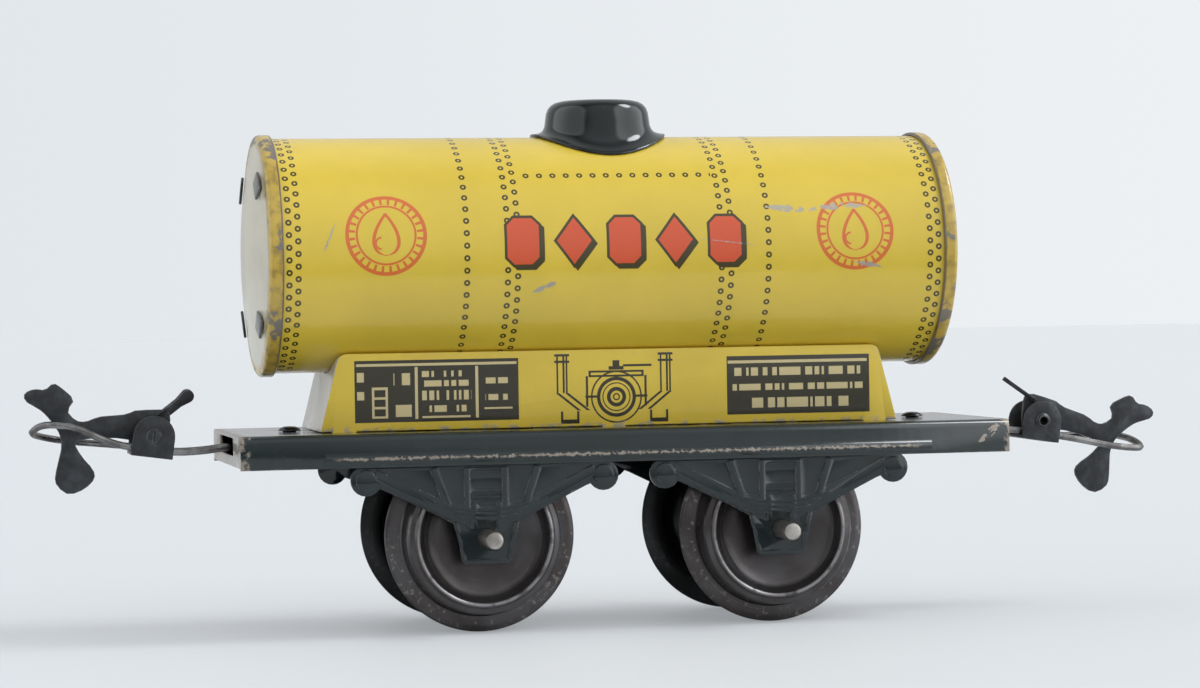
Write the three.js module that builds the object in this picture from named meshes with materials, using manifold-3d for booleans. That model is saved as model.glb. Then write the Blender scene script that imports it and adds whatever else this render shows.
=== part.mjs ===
// Tinplate tank wagon for an O gauge toy railway: a folded tray chassis on four pressed wheels, a saddle that
// carries a rolled tank with a filler dome, and a swinging link-and-hook coupling at each end.
// Millimetres. +X runs along the wagon, +Y across it, +Z up; the wheels stand on z = 0.
import * as THREE from "three";
import { mergeVertices } from "three/addons/utils/BufferGeometryUtils.js";
import Module from "manifold-3d";

const wasm = await Module();
wasm.setup();

// ---- driving dimensions ---------------------------------------------------------------------------------
const sheet = 0.5; // tinplate of the tray, the saddle and the tank
const seatGap = 0.1; // air between two pieces that rest on or in each other
const runningGap = 0.08; // radial play of an axle or a rivet that turns in its hole
const slotGap = 0.3; // play round a tab in its slot

const wheelbase = 50.6;
const flangeRadius = 16.15;
const treadRadius = 13.3; // at the flange root; the tread tapers to the front
const backToBack = 27; // between the two wheels' flange faces
const wheelDepth = 6; // flange face to front ridge
const wheelSheet = 0.5;
const axleRadius = 1.5;
const axleLength = 56.2;

const frameLength = 132;
const frameWidth = 42.2;
const skirtDepth = 5.6;
const edgeRadius = 1.2; // fold along the long edges of the deck
const beadStart = 14; // from each end of the frame to the swage on the skirt
const beadRadius = 1.1;
const beadProud = 0.5;
const pivotInset = 10.7; // from the end of the frame to the coupling's swing pivot
const windowWidth = 20; // opening in the end wall for the coupling to swing in
const windowBelow = 1.2; // from the link wire's centre down to the opening's lower edge

const guardSheet = 0.45;
const guardRelief = 0.55; // how far springs and ribs are pressed out of the plate
const guardSpan = 0.85 * wheelbase; // over the shackle lobes' outer edges, so that two guards keep apart
const guardFlangeReach = 9.3; // the folded top, from the plate inwards, at least
const guardFlangeLength = 24;
const wheelHeadroom = 0.55; // between the flange and the guard's folded top
const guardTabWidth = 4;
const guardTabSpacing = 16;
const tabHeight = 2.2; // what shows of a tab past the sheet it holds

const tankRadius = 19.9;
const tankLength = 117;
const tankOffset = -1.5; // the body sits a little left of the frame's middle
const capRim = 2.4;
const capDome = 2;
const capTabWidth = 4;
const capTabInset = 1.6; // from the barrel's surface to the tab's outer face
const saddleHeight = 13;
const saddleLip = 1.1; // flat rim between the cradle and the saddle's side
const cradleDepth = 3.25; // how far the tank sinks into the saddle
const saddleLength = 100.3; // along the bottom edge
const saddleSlope = 3.3; // how far each end leans in at the top
const saddleTabWidth = 4;
const domeRadius = 9.5;
const domeBrim = 2.2;
const domeHeight = 6.35; // above the top of the tank
const domeTabSpacing = 12;
const domeTabWidth = 3;

const wireRadius = 0.62;
const pivotShank = 1.1;
const pivotHead = 2;
const leverSheet = 0.75;
const bracketSheet = 0.55;
const bracketWidth = 8.4; // outside the two cheeks
const bracketRadius = 3.5; // of the cheeks' round tops, and half the bracket's length
const hookShank = 0.9;
const hookRivetHead = 1.35;
const eyeletWall = 0.15;
const loopWidth = 8; // outside the link wire
// The two couplings are bent differently. reach: swing pivot to hook rivet. loop: hook rivet to the link's
// outer end, at the wire's centre. height: of the hook rivet. tilt: how far the coupling is bent up, in degrees.
// lift: how far one strand of the link bows above the other. lean and twist: of the lever's thumb tab.
const leftEnd = { side: "left", turn: Math.PI, reach: 23.2, loop: 20, height: 33.65, tilt: 8, lift: 2.6 };
const rightEnd = { side: "right", turn: 0, reach: 22.95, loop: 20.55, height: 32.75, tilt: -9, lift: 1.9 };
const ends = [
  { ...leftEnd, lean: 45, twist: 20, eyelet: false },
  { ...rightEnd, lean: 64, twist: 80, eyelet: true },
];

// ---- places worked out from them ------------------------------------------------------------------------
const axleX = wheelbase / 2;
const axleHeight = flangeRadius;
const guardTop = 2 * flangeRadius + wheelHeadroom + guardSheet;
const deckUnder = guardTop + seatGap;
const deckTop = deckUnder + sheet;
const skirtBottom = deckTop - skirtDepth;
const skirtInside = frameWidth / 2 - sheet;
const guardInside = skirtInside - guardSheet - 0.25;
const guardOutside = guardInside + guardSheet;
const saddleBottom = deckTop + seatGap;
const saddleTop = saddleBottom + saddleHeight;
const tankHeight = saddleTop - cradleDepth + tankRadius;
const cradleRadius = tankRadius + seatGap;
const saddleWidth = 2 * (Math.sqrt(cradleRadius ** 2 - (tankHeight - saddleTop) ** 2) + saddleLip);
const capInside = tankRadius + seatGap;
const capOutside = capInside + sheet;
const capFace = tankLength / 2 + seatGap; // the cap's inner face, from the tank's middle
const capTabRadius = tankRadius - capTabInset;
const domeX = tankOffset + 0.55;
const pivotX = frameLength / 2 - pivotInset;
const wireHeight = deckUnder - 1.9;
// The guards' tabs come up inside the saddle, clear of its side walls.
const guardTabRoom = saddleWidth / 2 - sheet - 0.6;
const guardFlangeIn = Math.min(guardInside - guardFlangeReach, guardTabRoom - guardSheet);

// ---- making and joining solids --------------------------------------------------------------------------
function solid(geometry) {
  const bare = geometry.index ? geometry.toNonIndexed() : geometry.clone();
  bare.deleteAttribute("normal");
  bare.deleteAttribute("uv");
  const merged = mergeVertices(bare, 1e-4);
  const triVerts = new Uint32Array(merged.index.array);
  const vertProperties = merged.attributes.position.array;
  const made = new wasm.Manifold(new wasm.Mesh({ numProp: 3, vertProperties, triVerts }));
  if (made.volume() >= 0) return made;
  // A section swept along a path, or a profile drawn downwards, comes out with its faces inwards.
  for (let i = 0; i < triVerts.length; i += 3) {
    [triVerts[i + 1], triVerts[i + 2]] = [triVerts[i + 2], triVerts[i + 1]];
  }
  return new wasm.Manifold(new wasm.Mesh({ numProp: 3, vertProperties, triVerts }));
}

function geometryOf(manifold) {
  const mesh = manifold.getMesh();
  const vertices = new Float32Array(mesh.numVert * 3);
  for (let i = 0; i < mesh.numVert; i++) {
    vertices.set(mesh.vertProperties.subarray(i * mesh.numProp, i * mesh.numProp + 3), i * 3);
  }
  const geometry = new THREE.BufferGeometry();
  geometry.setAttribute("position", new THREE.BufferAttribute(vertices, 3));
  geometry.setIndex(new THREE.BufferAttribute(mesh.triVerts, 1));
  geometry.computeVertexNormals();
  return geometry;
}

const join = (pieces) => pieces.reduce((whole, piece) => whole.add(piece));
const cut = (whole, tools) => tools.reduce((left, tool) => left.subtract(tool), whole);

// A block between two corners.
function block([x0, y0, z0], [x1, y1, z1]) {
  const box = new THREE.BoxGeometry(x1 - x0, y1 - y0, z1 - z0);
  return solid(box.translate((x0 + x1) / 2, (y0 + y1) / 2, (z0 + z1) / 2));
}

// A cylinder from one point along an axis letter.
function rod(radius, from, to, axis, [x, y, z], segments = 32) {
  const made = new THREE.CylinderGeometry(radius, radius, to - from, segments);
  made.translate(0, (from + to) / 2, 0);
  if (axis === "x") made.rotateZ(-Math.PI / 2);
  if (axis === "z") made.rotateX(Math.PI / 2);
  return solid(made.translate(x, y, z));
}

// A profile of [radius, height] pairs turned about an axis letter through a point.
function turned(profile, axis, [x, y, z], segments) {
  const points = profile.map(([radius, height]) => new THREE.Vector2(radius, height));
  const made = new THREE.LatheGeometry(points, segments);
  if (axis === "x") made.rotateZ(-Math.PI / 2);
  if (axis === "z") made.rotateX(Math.PI / 2);
  return solid(made.translate(x, y, z));
}

// An outline in the XZ plane made thick along Y, from y0 to y1.
function plate(shape, y0, y1, curveSegments = 6) {
  const made = new THREE.ExtrudeGeometry(shape, { depth: y1 - y0, bevelEnabled: false, curveSegments });
  return solid(made.rotateX(Math.PI / 2).translate(0, y1, 0));
}

const outline = (points) => new THREE.Shape(points.map(([x, z]) => new THREE.Vector2(x, z)));

// A wire of round section along a smooth curve through points.
function wire(points, radius, steps, sides) {
  const path = new THREE.CatmullRomCurve3(points, false, "centripetal");
  const section = new THREE.Shape();
  section.absarc(0, 0, radius, 0, 2 * Math.PI);
  const settings = { steps, extrudePath: path, curveSegments: sides };
  return solid(new THREE.ExtrudeGeometry(section, settings));
}

// ---- finishes -------------------------------------------------------------------------------------------
const finish = (color, roughness, metalness) =>
  new THREE.MeshStandardMaterial({ color, roughness, metalness });
const green = finish(0x1b2424, 0.35, 0.1);
const yellow = finish(0xd9b21c, 0.35, 0.05);
const black = finish(0x111312, 0.2, 0.1);
const bronze = finish(0x4a3f38, 0.4, 0.8);
const steel = finish(0xb5b0a6, 0.35, 1);
const blackened = finish(0x34393a, 0.45, 0.8);

const wagon = new THREE.Group();
function add(name, manifold, material, group = wagon) {
  const mesh = new THREE.Mesh(geometryOf(manifold), material);
  mesh.name = name;
  group.add(mesh);
}

// ---- chassis tray ---------------------------------------------------------------------------------------
// The section of the tray's outside or inside, inset by a wall, swept from one end to the other.
function traySection(inset, halfLength, bottom) {
  const half = frameWidth / 2 - inset;
  const top = deckTop - inset;
  const radius = Math.max(edgeRadius - inset, 0.2);
  const section = new THREE.Shape();
  section.moveTo(-half, bottom);
  section.lineTo(half, bottom);
  section.absarc(half - radius, top - radius, radius, 0, Math.PI / 2);
  section.absarc(-half + radius, top - radius, radius, Math.PI / 2, Math.PI);
  const settings = { depth: 2 * halfLength, bevelEnabled: false, curveSegments: 5 };
  const swept = new THREE.ExtrudeGeometry(section, settings);
  return solid(swept.rotateX(Math.PI / 2).rotateZ(Math.PI / 2).translate(-halfLength, 0, 0));
}

const axles = [
  ["left", -axleX],
  ["right", axleX],
];
const sides = [
  ["near", -1],
  ["far", 1],
];
const guardTabY = guardFlangeIn + guardSheet / 2;
const saddleTabY = saddleWidth / 2 - sheet / 2;
const saddleTabX = [-1, 0, 1].map((place) => tankOffset + (place * (saddleLength - 8)) / 2);

// A slot through the deck for a tab that stands on it.
const deckSlot = (x, y, width, thickness) =>
  block(
    [x - width / 2 - slotGap, y - thickness / 2 - slotGap, deckUnder - 1],
    [x + width / 2 + slotGap, y + thickness / 2 + slotGap, deckTop + 1],
  );

function chassis() {
  const halfLength = frameLength / 2;
  const beadLength = frameLength - 2 * beadStart;
  const beadZ = skirtBottom + beadRadius + 0.3;
  const tools = [traySection(sheet, halfLength - sheet, skirtBottom - 1)];
  const beads = [];
  for (const [, side] of sides) {
    const centre = side * (frameWidth / 2 - beadRadius + beadProud);
    beads.push(rod(beadRadius, -beadLength / 2, beadLength / 2, "x", [0, centre, beadZ], 16));
    const hollow = side * (skirtInside - beadRadius + beadProud);
    tools.push(rod(beadRadius, -beadLength / 2, beadLength / 2, "x", [0, hollow, beadZ], 16));
    for (const [, x] of axles) {
      for (const place of [-1, 1]) {
        const tabX = x + (place * guardTabSpacing) / 2;
        tools.push(deckSlot(tabX, side * guardTabY, guardTabWidth, guardSheet));
      }
    }
    saddleTabX.forEach((x) => tools.push(deckSlot(x, side * saddleTabY, saddleTabWidth, sheet)));
  }
  for (const end of [-1, 1]) {
    const low = [end * halfLength - 2, -windowWidth / 2, wireHeight - windowBelow];
    const high = [end * halfLength + 2, windowWidth / 2, deckUnder - 0.1];
    tools.push(block(low, high));
    tools.push(rod(pivotShank + seatGap, deckUnder - 1, deckTop + 1, "z", [end * pivotX, 0, 0], 24));
  }
  const tray = traySection(0, halfLength, skirtBottom);
  const insideOnly = block([-halfLength, -skirtInside, 0], [halfLength, skirtInside, skirtBottom + 0.3]);
  return cut(join([tray, ...beads]), [...tools, insideOnly]);
}
add("chassis_frame", chassis(), green);

// ---- axle guards ----------------------------------------------------------------------------------------
// The plate's outline about the axle's centre, drawn for one side and mirrored.
function mirrored(points) {
  const back = points.map(([x, z]) => [-x, z]).reverse();
  return outline([...points, ...back]);
}

// A band of even thickness that hangs as a bow between two points at the same height.
function bow(halfSpan, endZ, middleZ, thickness, steps = 8) {
  const upper = [];
  const lower = [];
  for (let i = 0; i <= steps; i++) {
    const t = (2 * i) / steps - 1;
    const z = middleZ + (endZ - middleZ) * t * t;
    upper.push([halfSpan * t, z + thickness / 2]);
    lower.push([halfSpan * t, z - thickness / 2]);
  }
  return outline([...upper, ...lower.reverse()]);
}

// A straight bar of even width between two points.
function bar([x0, z0], [x1, z1], width) {
  const length = Math.hypot(x1 - x0, z1 - z0);
  const [px, pz] = [((z0 - z1) * width) / length / 2, ((x1 - x0) * width) / length / 2];
  return outline([
    [x0 + px, z0 + pz],
    [x1 + px, z1 + pz],
    [x1 - px, z1 - pz],
    [x0 - px, z0 - pz],
  ]);
}

// The guard's shapes are given about the axle's centre, for one side: x outwards and z up.
const guardHalf = guardSpan / 2;
const lobe = { x: guardHalf - 1.5, z: 10, radius: 2.6, ring: 0.9 };
const guardEdge = [
  [3.6, -4.3],
  [4.0, -3.1],
  [4.6, -0.7],
  [5.4, 2.4],
  [8, 3.9],
  [guardHalf - 4.5, 8.3],
  [guardHalf, lobe.z],
];
const springArm = [
  [4.8, 2.7],
  [8, 4.3],
  [guardHalf - 4.5, 8.7],
  [guardHalf - 2.9, 10.4],
  [guardHalf - 3.3, 11.7],
  [9.4, 7.5],
  [6, 6.1],
  [1, 5.4],
];
const leaves = [
  [8.8, 6.1, 4.7, 0.45],
  [6.8, 5.0, 3.9, 0.45],
  [5, 3.9, 3.1, 0.4],
];
const slantedRib = { foot: [6.6, 5.6], head: [8.8, 11.7], width: 1.25 };
const uprightRib = { foot: [3.2, 5], head: [3.2, 11.7], width: 1 };
const clipRib = { foot: [2.1, 1.7], head: [2.1, 5.8], width: 0.9 };
const crossBars = [7.6, 11.3]; // heights of the two bars between the upright ribs
const crossBarHalf = 0.4;
const borderPoints = [
  [3.8, -3.9],
  [4.4, -0.6],
  [5.2, 2.6],
];
const borderWidth = 0.7;

function guard() {
  const top = guardTop - axleHeight;
  const face = guardOutside;
  const proud = face + guardRelief;
  const sink = 0.1; // how deep each rib is let into the plate
  const foldDrop = 0.55; // the plate stops short of the rounded fold inside the tray
  const raised = (shape, below = 0) => plate(shape, face - sink, proud - below);
  const edge = [...guardEdge, [guardHalf, top - foldDrop]];
  const ribs = [raised(mirrored(springArm), 0.1)];
  leaves.forEach((leaf) => ribs.push(raised(bow(...leaf))));
  for (const z of crossBars) {
    ribs.push(raised(bar([-uprightRib.foot[0], z], [uprightRib.foot[0], z], 2 * crossBarHalf), 0.2));
  }
  const [corner] = borderPoints;
  ribs.push(raised(bar([-corner[0], corner[1]], corner, borderWidth), 0.3));
  for (const side of [-1, 1]) {
    const at = ([x, z]) => [side * x, z];
    ribs.push(raised(bar(at(slantedRib.foot), at(slantedRib.head), slantedRib.width), 0.05));
    ribs.push(raised(bar(at(uprightRib.foot), at(uprightRib.head), uprightRib.width), 0.05));
    ribs.push(raised(bar(at(clipRib.foot), at(clipRib.head), clipRib.width)));
    borderPoints.slice(1).forEach((point, i) => {
      ribs.push(raised(bar(at(borderPoints[i]), at(point), borderWidth), 0.3));
    });
    const centre = [side * lobe.x, 0, lobe.z];
    ribs.push(rod(lobe.radius - lobe.ring, face - sink, proud, "y", centre, 16));
    ribs.push(rod(lobe.radius, guardInside, face, "y", centre, 20));
  }
  const flangeOut = guardInside + guardSheet / 2;
  const flangeHalf = guardFlangeLength / 2;
  const flange = block([-flangeHalf, guardFlangeIn, top - guardSheet], [flangeHalf, flangeOut, top]);
  const fold = block([-flangeHalf, guardInside, top - 1], [flangeHalf, flangeOut, top]);
  const tabs = [-1, 1].map((place) => {
    const x = (place * guardTabSpacing) / 2;
    const tabTop = top + seatGap + sheet + tabHeight;
    const low = [x - guardTabWidth / 2, guardFlangeIn, top - guardSheet];
    return block(low, [x + guardTabWidth / 2, guardFlangeIn + guardSheet, tabTop]);
  });
  const whole = join([plate(mirrored(edge), guardInside, face), ...ribs, flange, fold, ...tabs]);
  return whole.subtract(rod(axleRadius + runningGap, guardInside - 1, proud + 1, "y", [0, 0, 0]));
}

const farGuard = guard();
for (const [end, x] of axles) {
  add(`axle_guard_far_${end}`, farGuard.translate([x, 0, axleHeight]), green);
  add(`axle_guard_near_${end}`, farGuard.rotate([0, 0, 180]).translate([x, 0, axleHeight]), green);
}

// ---- wheels and axles -----------------------------------------------------------------------------------
// A wheel pressed from sheet, open at the back: [radius, distance from the flange's inner face].
function wheelProfile() {
  const front = wheelDepth;
  const web = front - 2.6;
  const hubHole = axleRadius + 0.05;
  const outside = [
    [hubHole, web + 0.6],
    [hubHole + 1.3, web + 0.6],
    [hubHole + 2, web],
    [treadRadius - 5, web + 0.3],
    [treadRadius - 2.4, front - 0.3],
    [treadRadius - 1.7, front],
    [treadRadius - 0.7, front - 0.9],
    [treadRadius, 1.3],
    [flangeRadius - 0.5, 0.9],
    [flangeRadius, 0.45],
    [flangeRadius - 0.4, 0],
  ];
  const inside = [
    [treadRadius - wheelSheet, 0],
    [treadRadius - 0.7 - wheelSheet, front - 1.1],
    [treadRadius - 2.2, front - wheelSheet - 0.3],
    [treadRadius - 5, web - wheelSheet + 0.3],
    [hubHole + 1.6, web - wheelSheet],
    [hubHole, web - wheelSheet],
    [hubHole, web + 0.6],
  ];
  return [...outside, ...inside];
}

for (const [end, x] of axles) {
  for (const [name, side] of sides) {
    const wheel = turned(wheelProfile(), "y", [0, 0, 0], 32).translate([0, backToBack / 2, 0]);
    const faced = side > 0 ? wheel : wheel.rotate([0, 0, 180]);
    add(`wheel_${name}_${end}`, faced.translate([x, 0, axleHeight]), bronze);
  }
  const chamfer = 0.3;
  const halfAxle = axleLength / 2;
  const axle = [
    [0, -halfAxle],
    [axleRadius - chamfer, -halfAxle],
    [axleRadius, -halfAxle + chamfer],
    [axleRadius, halfAxle - chamfer],
    [axleRadius - chamfer, halfAxle],
    [0, halfAxle],
  ];
  add(`axle_${end}`, turned(axle, "y", [x, 0, axleHeight], 20), steel);
}

// ---- saddle ---------------------------------------------------------------------------------------------
const along = (radius, length, margin = 0) =>
  rod(radius, -length / 2 - margin, length / 2 + margin, "x", [tankOffset, 0, tankHeight], 48);

// The saddle's outside or inside: a long trapezium with rounded top corners, made thick across the wagon.
function saddleBlock(inset, bottom) {
  const halfBottom = saddleLength / 2 - inset;
  const halfTop = saddleLength / 2 - saddleSlope - inset;
  const top = saddleTop - inset;
  const round = 1.4;
  const shape = new THREE.Shape();
  shape.moveTo(-halfBottom, bottom);
  shape.lineTo(halfBottom, bottom);
  shape.lineTo(halfTop + round * 0.25, top - round);
  shape.quadraticCurveTo(halfTop, top, halfTop - round, top);
  shape.lineTo(-halfTop + round, top);
  shape.quadraticCurveTo(-halfTop, top, -halfTop - round * 0.25, top - round);
  shape.lineTo(-halfBottom, bottom);
  return plate(shape, -saddleWidth / 2 + inset, saddleWidth / 2 - inset, 4).translate([tankOffset, 0, 0]);
}

function saddle() {
  const outside = saddleBlock(0, saddleBottom);
  const shell = outside.subtract(saddleBlock(sheet, saddleBottom - 1));
  const trough = along(cradleRadius + sheet, saddleLength, 1).intersect(outside);
  const tabs = [];
  for (const x of saddleTabX) {
    for (const [, side] of sides) {
      const y = side * saddleTabY;
      const low = [x - saddleTabWidth / 2, y - sheet / 2, deckUnder - tabHeight];
      tabs.push(block(low, [x + saddleTabWidth / 2, y + sheet / 2, saddleBottom + 1]));
    }
  }
  return join([shell, trough, ...tabs]).subtract(along(cradleRadius, saddleLength, 2));
}
add("tank_saddle", saddle(), yellow);

// ---- tank -----------------------------------------------------------------------------------------------
const tabAngles = [45, 135, 225, 315];
const domeTabX = [-1, 1].map((place) => domeX + (place * domeTabSpacing) / 2);

// A small block placed at an angle round the tank's axis, between two radii.
function roundTank(angle, x0, x1, r0, r1, width) {
  const piece = block([x0, -width / 2, r0], [x1, width / 2, r1]);
  return piece.rotate([angle, 0, 0]).translate([tankOffset, 0, tankHeight]);
}

function barrel() {
  const tube = along(tankRadius, tankLength).subtract(along(tankRadius - sheet, tankLength, 1));
  const tabs = [];
  const tabTop = tankRadius - sheet * 0.4;
  for (const end of [-1, 1]) {
    for (const angle of tabAngles) {
      // Each tab leaves the barrel's edge, steps in, passes the cap's slot and is bent over its face.
      const root = [tankLength / 2 - 2, tankLength / 2];
      const reach = [tankLength / 2 - 0.6, capFace + sheet + capDome * 0.3 + 0.75];
      const bent = [reach[1] - sheet, reach[1]];
      const ordered = ([a, b]) => (end > 0 ? [a, b] : [-b, -a]);
      tabs.push(roundTank(angle, ...ordered(root), capTabRadius - sheet, tabTop, capTabWidth));
      tabs.push(roundTank(angle, ...ordered(reach), capTabRadius - sheet, capTabRadius, capTabWidth));
      tabs.push(roundTank(angle, ...ordered(bent), capTabRadius - sheet - 2.4, capTabRadius, capTabWidth));
    }
  }
  const slots = domeTabX.map((x) => {
    const low = [x - sheet / 2 - slotGap, -domeTabWidth / 2 - slotGap, tankHeight + tankRadius - 2];
    return block(low, [x + sheet / 2 + slotGap, domeTabWidth / 2 + slotGap, tankHeight + tankRadius + 1]);
  });
  return cut(join([tube, ...tabs]), slots);
}
add("tank_barrel", barrel(), yellow);

// One end cap, drawn for the right-hand end: [radius, distance from the tank's middle].
function cap(end) {
  const face = capFace + sheet;
  const bulge = (radius) => face + capDome * (1 - (radius / (capOutside - 1)) ** 2);
  const radii = [0, 8, 14, capOutside - 1];
  const outside = radii.map((radius) => [radius, bulge(radius)]);
  const inside = radii.map((radius) => [radius, bulge(radius) - sheet]).reverse();
  const profile = [
    ...outside,
    [capOutside - 0.3, face - 0.3],
    [capOutside, face - 1],
    [capOutside, face - capRim],
    [capInside, face - capRim],
    [capInside, face - sheet],
    ...inside,
  ];
  const slots = tabAngles.map((angle) => {
    const low = capTabRadius - sheet - slotGap;
    return roundTank(angle, capFace - 3, face + 3, low, capTabRadius + slotGap, capTabWidth + 2 * slotGap);
  });
  const right = cut(turned(profile, "x", [tankOffset, 0, tankHeight], 48), slots);
  if (end > 0) return right;
  return right.translate([-tankOffset, 0, 0]).rotate([0, 0, 180]).translate([tankOffset, 0, 0]);
}
add("end_cap_left", cap(-1), yellow);
add("end_cap_right", cap(1), yellow);

// The dome: a pressed cup with a brim that follows the tank, held by two tabs through the tank's top.
function dome() {
  const crown = tankHeight + tankRadius;
  const top = crown + domeHeight;
  const arc = (radius, height, inset) => [
    [0, top - inset],
    [radius - 3.2, top - 0.1 - inset],
    [radius - 1.5 - inset * 0.6, top - 0.8 - inset * 0.8],
    [radius - 0.5 - inset, top - 2.2 - inset * 0.4],
    [radius - inset, height],
    [0, height],
  ];
  const floor = crown - 5;
  const cup = turned(arc(domeRadius, floor, 0), "z", [domeX, 0, 0], 36);
  const hollow = turned(arc(domeRadius, floor - 1, sheet), "z", [domeX, 0, 0], 36);
  const brimRadius = domeRadius + domeBrim;
  const brimShell = along(cradleRadius + sheet, 60).subtract(along(cradleRadius, 60, 1));
  const brim = rod(brimRadius, crown - 8, crown + 3, "z", [domeX, 0, 0], 36).intersect(brimShell);
  const tabs = domeTabX.map((x) => {
    const low = [x - sheet / 2, -domeTabWidth / 2, crown - tabHeight];
    return block(low, [x + sheet / 2, domeTabWidth / 2, crown + 1 + sheet]);
  });
  // Each tab hangs from a foot that runs out to the cup's wall.
  const feet = domeTabX.map((x) => {
    const wall = domeX + Math.sign(x - domeX) * (domeRadius - sheet / 2);
    const low = [Math.min(x - sheet / 2, wall), -domeTabWidth / 2, crown + 1];
    return block(low, [Math.max(x + sheet / 2, wall), domeTabWidth / 2, crown + 1 + sheet]);
  });
  const shell = cut(join([cup, brim]), [hollow, along(cradleRadius, 60)]);
  return join([shell, ...tabs, ...feet]);
}
add("filler_dome", dome(), black);

// ---- couplings ------------------------------------------------------------------------------------------
// Each coupling is drawn pointing along +X from its swing pivot and turned to face its own end.
const radians = (degrees) => (degrees * Math.PI) / 180;
const bracketFloor = -bracketRadius + bracketSheet; // the base plate's upper face, from the hook rivet
const strandZ = bracketFloor + seatGap + wireRadius;
const eyeRadius = pivotShank + runningGap + wireRadius;

// The link wire: two strands from an eye round the pivot, through the bracket, to a round outer end. One strand
// bows up and the other stays low, so that the link lies twisted.
function linkWire({ reach, loop, height, tilt, lift: bowed }) {
  const angle = radians(tilt);
  const tilted = (x, y, z) =>
    new THREE.Vector3(
      reach + x * Math.cos(angle) - z * Math.sin(angle),
      y,
      height - wireHeight + x * Math.sin(angle) + z * Math.cos(angle),
    );
  const risen = height - wireHeight;
  const inBracket = bracketWidth / 2 - bracketSheet - wireRadius - 0.35;
  const inLoop = loopWidth / 2 - wireRadius;
  const strand = (side, lift) => [
    tilted(loop * 0.95, side * inLoop * 0.55, strandZ + 0.25 + lift * 0.55),
    tilted(loop * 0.8, side * inLoop, strandZ + 0.1 + lift * 0.85),
    tilted(loop * 0.62, side * inLoop * 0.97, strandZ + lift * 0.75),
    tilted(loop * 0.4, side * (inLoop + inBracket) * 0.5, strandZ + lift * 0.25),
    tilted(bracketRadius + 0.4, side * inBracket, strandZ),
    tilted(0, side * inBracket, strandZ),
    tilted(-bracketRadius - 0.4, side * inBracket * 0.97, strandZ),
    new THREE.Vector3(pivotInset + 4, side * inBracket * 0.85, risen + strandZ + 0.25 - tilt * 0.08),
    new THREE.Vector3(pivotInset - 0.3, side * (eyeRadius + 0.1), 0),
    new THREE.Vector3(pivotInset * 0.5, side * eyeRadius, 0),
    ...[80, 110, 140, 165].map((turn) => {
      const bearing = radians(turn);
      return new THREE.Vector3(eyeRadius * Math.cos(bearing), side * eyeRadius * Math.sin(bearing), 0);
    }),
  ];
  const high = strand(1, bowed);
  const low = strand(-1, -0.5);
  const tip = tilted(loop, 0, strandZ + 0.35);
  return wire([...high.reverse(), tip, ...low], wireRadius, 66, 3);
}

// The U-shaped bracket: a base under the wire and two round-topped cheeks.
function bracket() {
  const half = bracketWidth / 2;
  const cheek = new THREE.Shape();
  cheek.moveTo(-bracketRadius, -bracketRadius);
  cheek.lineTo(bracketRadius, -bracketRadius);
  cheek.absarc(0, 0, bracketRadius, 0, Math.PI);
  const whole = plate(cheek, -half, half, 9);
  const inner = half - bracketSheet;
  const channel = block([-10, -inner, bracketFloor], [10, inner, 10]);
  const hole = rod(hookShank + 0.05, -half - 1, half + 1, "y", [0, 0, 0], 20);
  return cut(whole, [channel, hole]);
}

// The hook lever's outline, from the top of its root: the head with its notch, then the round weight that hangs
// through the link, and back along the lower edge.
const leverRim = [
  [3.4, 3.9], [5.2, 3], [9.1, 2.2], [11.1, 1.2], [12.8, 1.1], [14.5, 2.5], [13.8, 4.5], [15.8, 6.1],
  [17.4, 6.8], [18.7, 5.6], [20.4, 5.5], [21.9, 4.6], [21.6, 3.3], [19.2, 2.2], [17.8, 1.2], [16.3, -0.3],
  [15.2, -1.9], [14.8, -4.1], [15.2, -7.9], [14.9, -9.9], [12.8, -11.3], [10.4, -10.3], [8.8, -8.4],
  [9.1, -6.8], [11.2, -4.8], [12.6, -2.6], [9.9, -1.6], [4.6, -1], [2.4, -1.9], [0, -2.5], [-2.2, -1.4],
  [-2.6, 1.5], [-2.5, 3.9], [-1, 4.6],
];
const thumbNeck = 0.75; // half the width of the thumb tab where it leaves the lever
const thumbRound = 1.15; // radius of its round end
const thumbReach = 5.9;

// The hook lever: a flat blade, with a thumb tab that leans back from the root and is twisted out of its plane.
function lever({ lean, twist }) {
  const rim = leverRim.map(([x, z]) => new THREE.Vector2(x, z));
  const blade = new THREE.Shape();
  blade.moveTo(rim[0].x, rim[0].y);
  blade.splineThru([...rim.slice(1), rim[0].clone()]);
  const flat = plate(blade, -leverSheet / 2, leverSheet / 2, 2);
  const tab = new THREE.Shape();
  tab.moveTo(-thumbNeck, -1.2);
  tab.lineTo(thumbNeck, -1.2);
  tab.lineTo(thumbNeck, thumbReach - 3);
  tab.absarc(0, thumbReach - thumbRound, thumbRound, 0, Math.PI);
  tab.lineTo(-thumbNeck, thumbReach - 3);
  const turnedTab = plate(tab, -leverSheet / 2, leverSheet / 2, 5).rotate([0, 0, twist]);
  const leaning = turnedTab.rotate([0, -lean, 0]).translate([-1.6, 0, 4]);
  return join([flat, leaning]).subtract(rod(hookShank + runningGap, -5, 5, "y", [0, 0, 0], 24));
}

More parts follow.
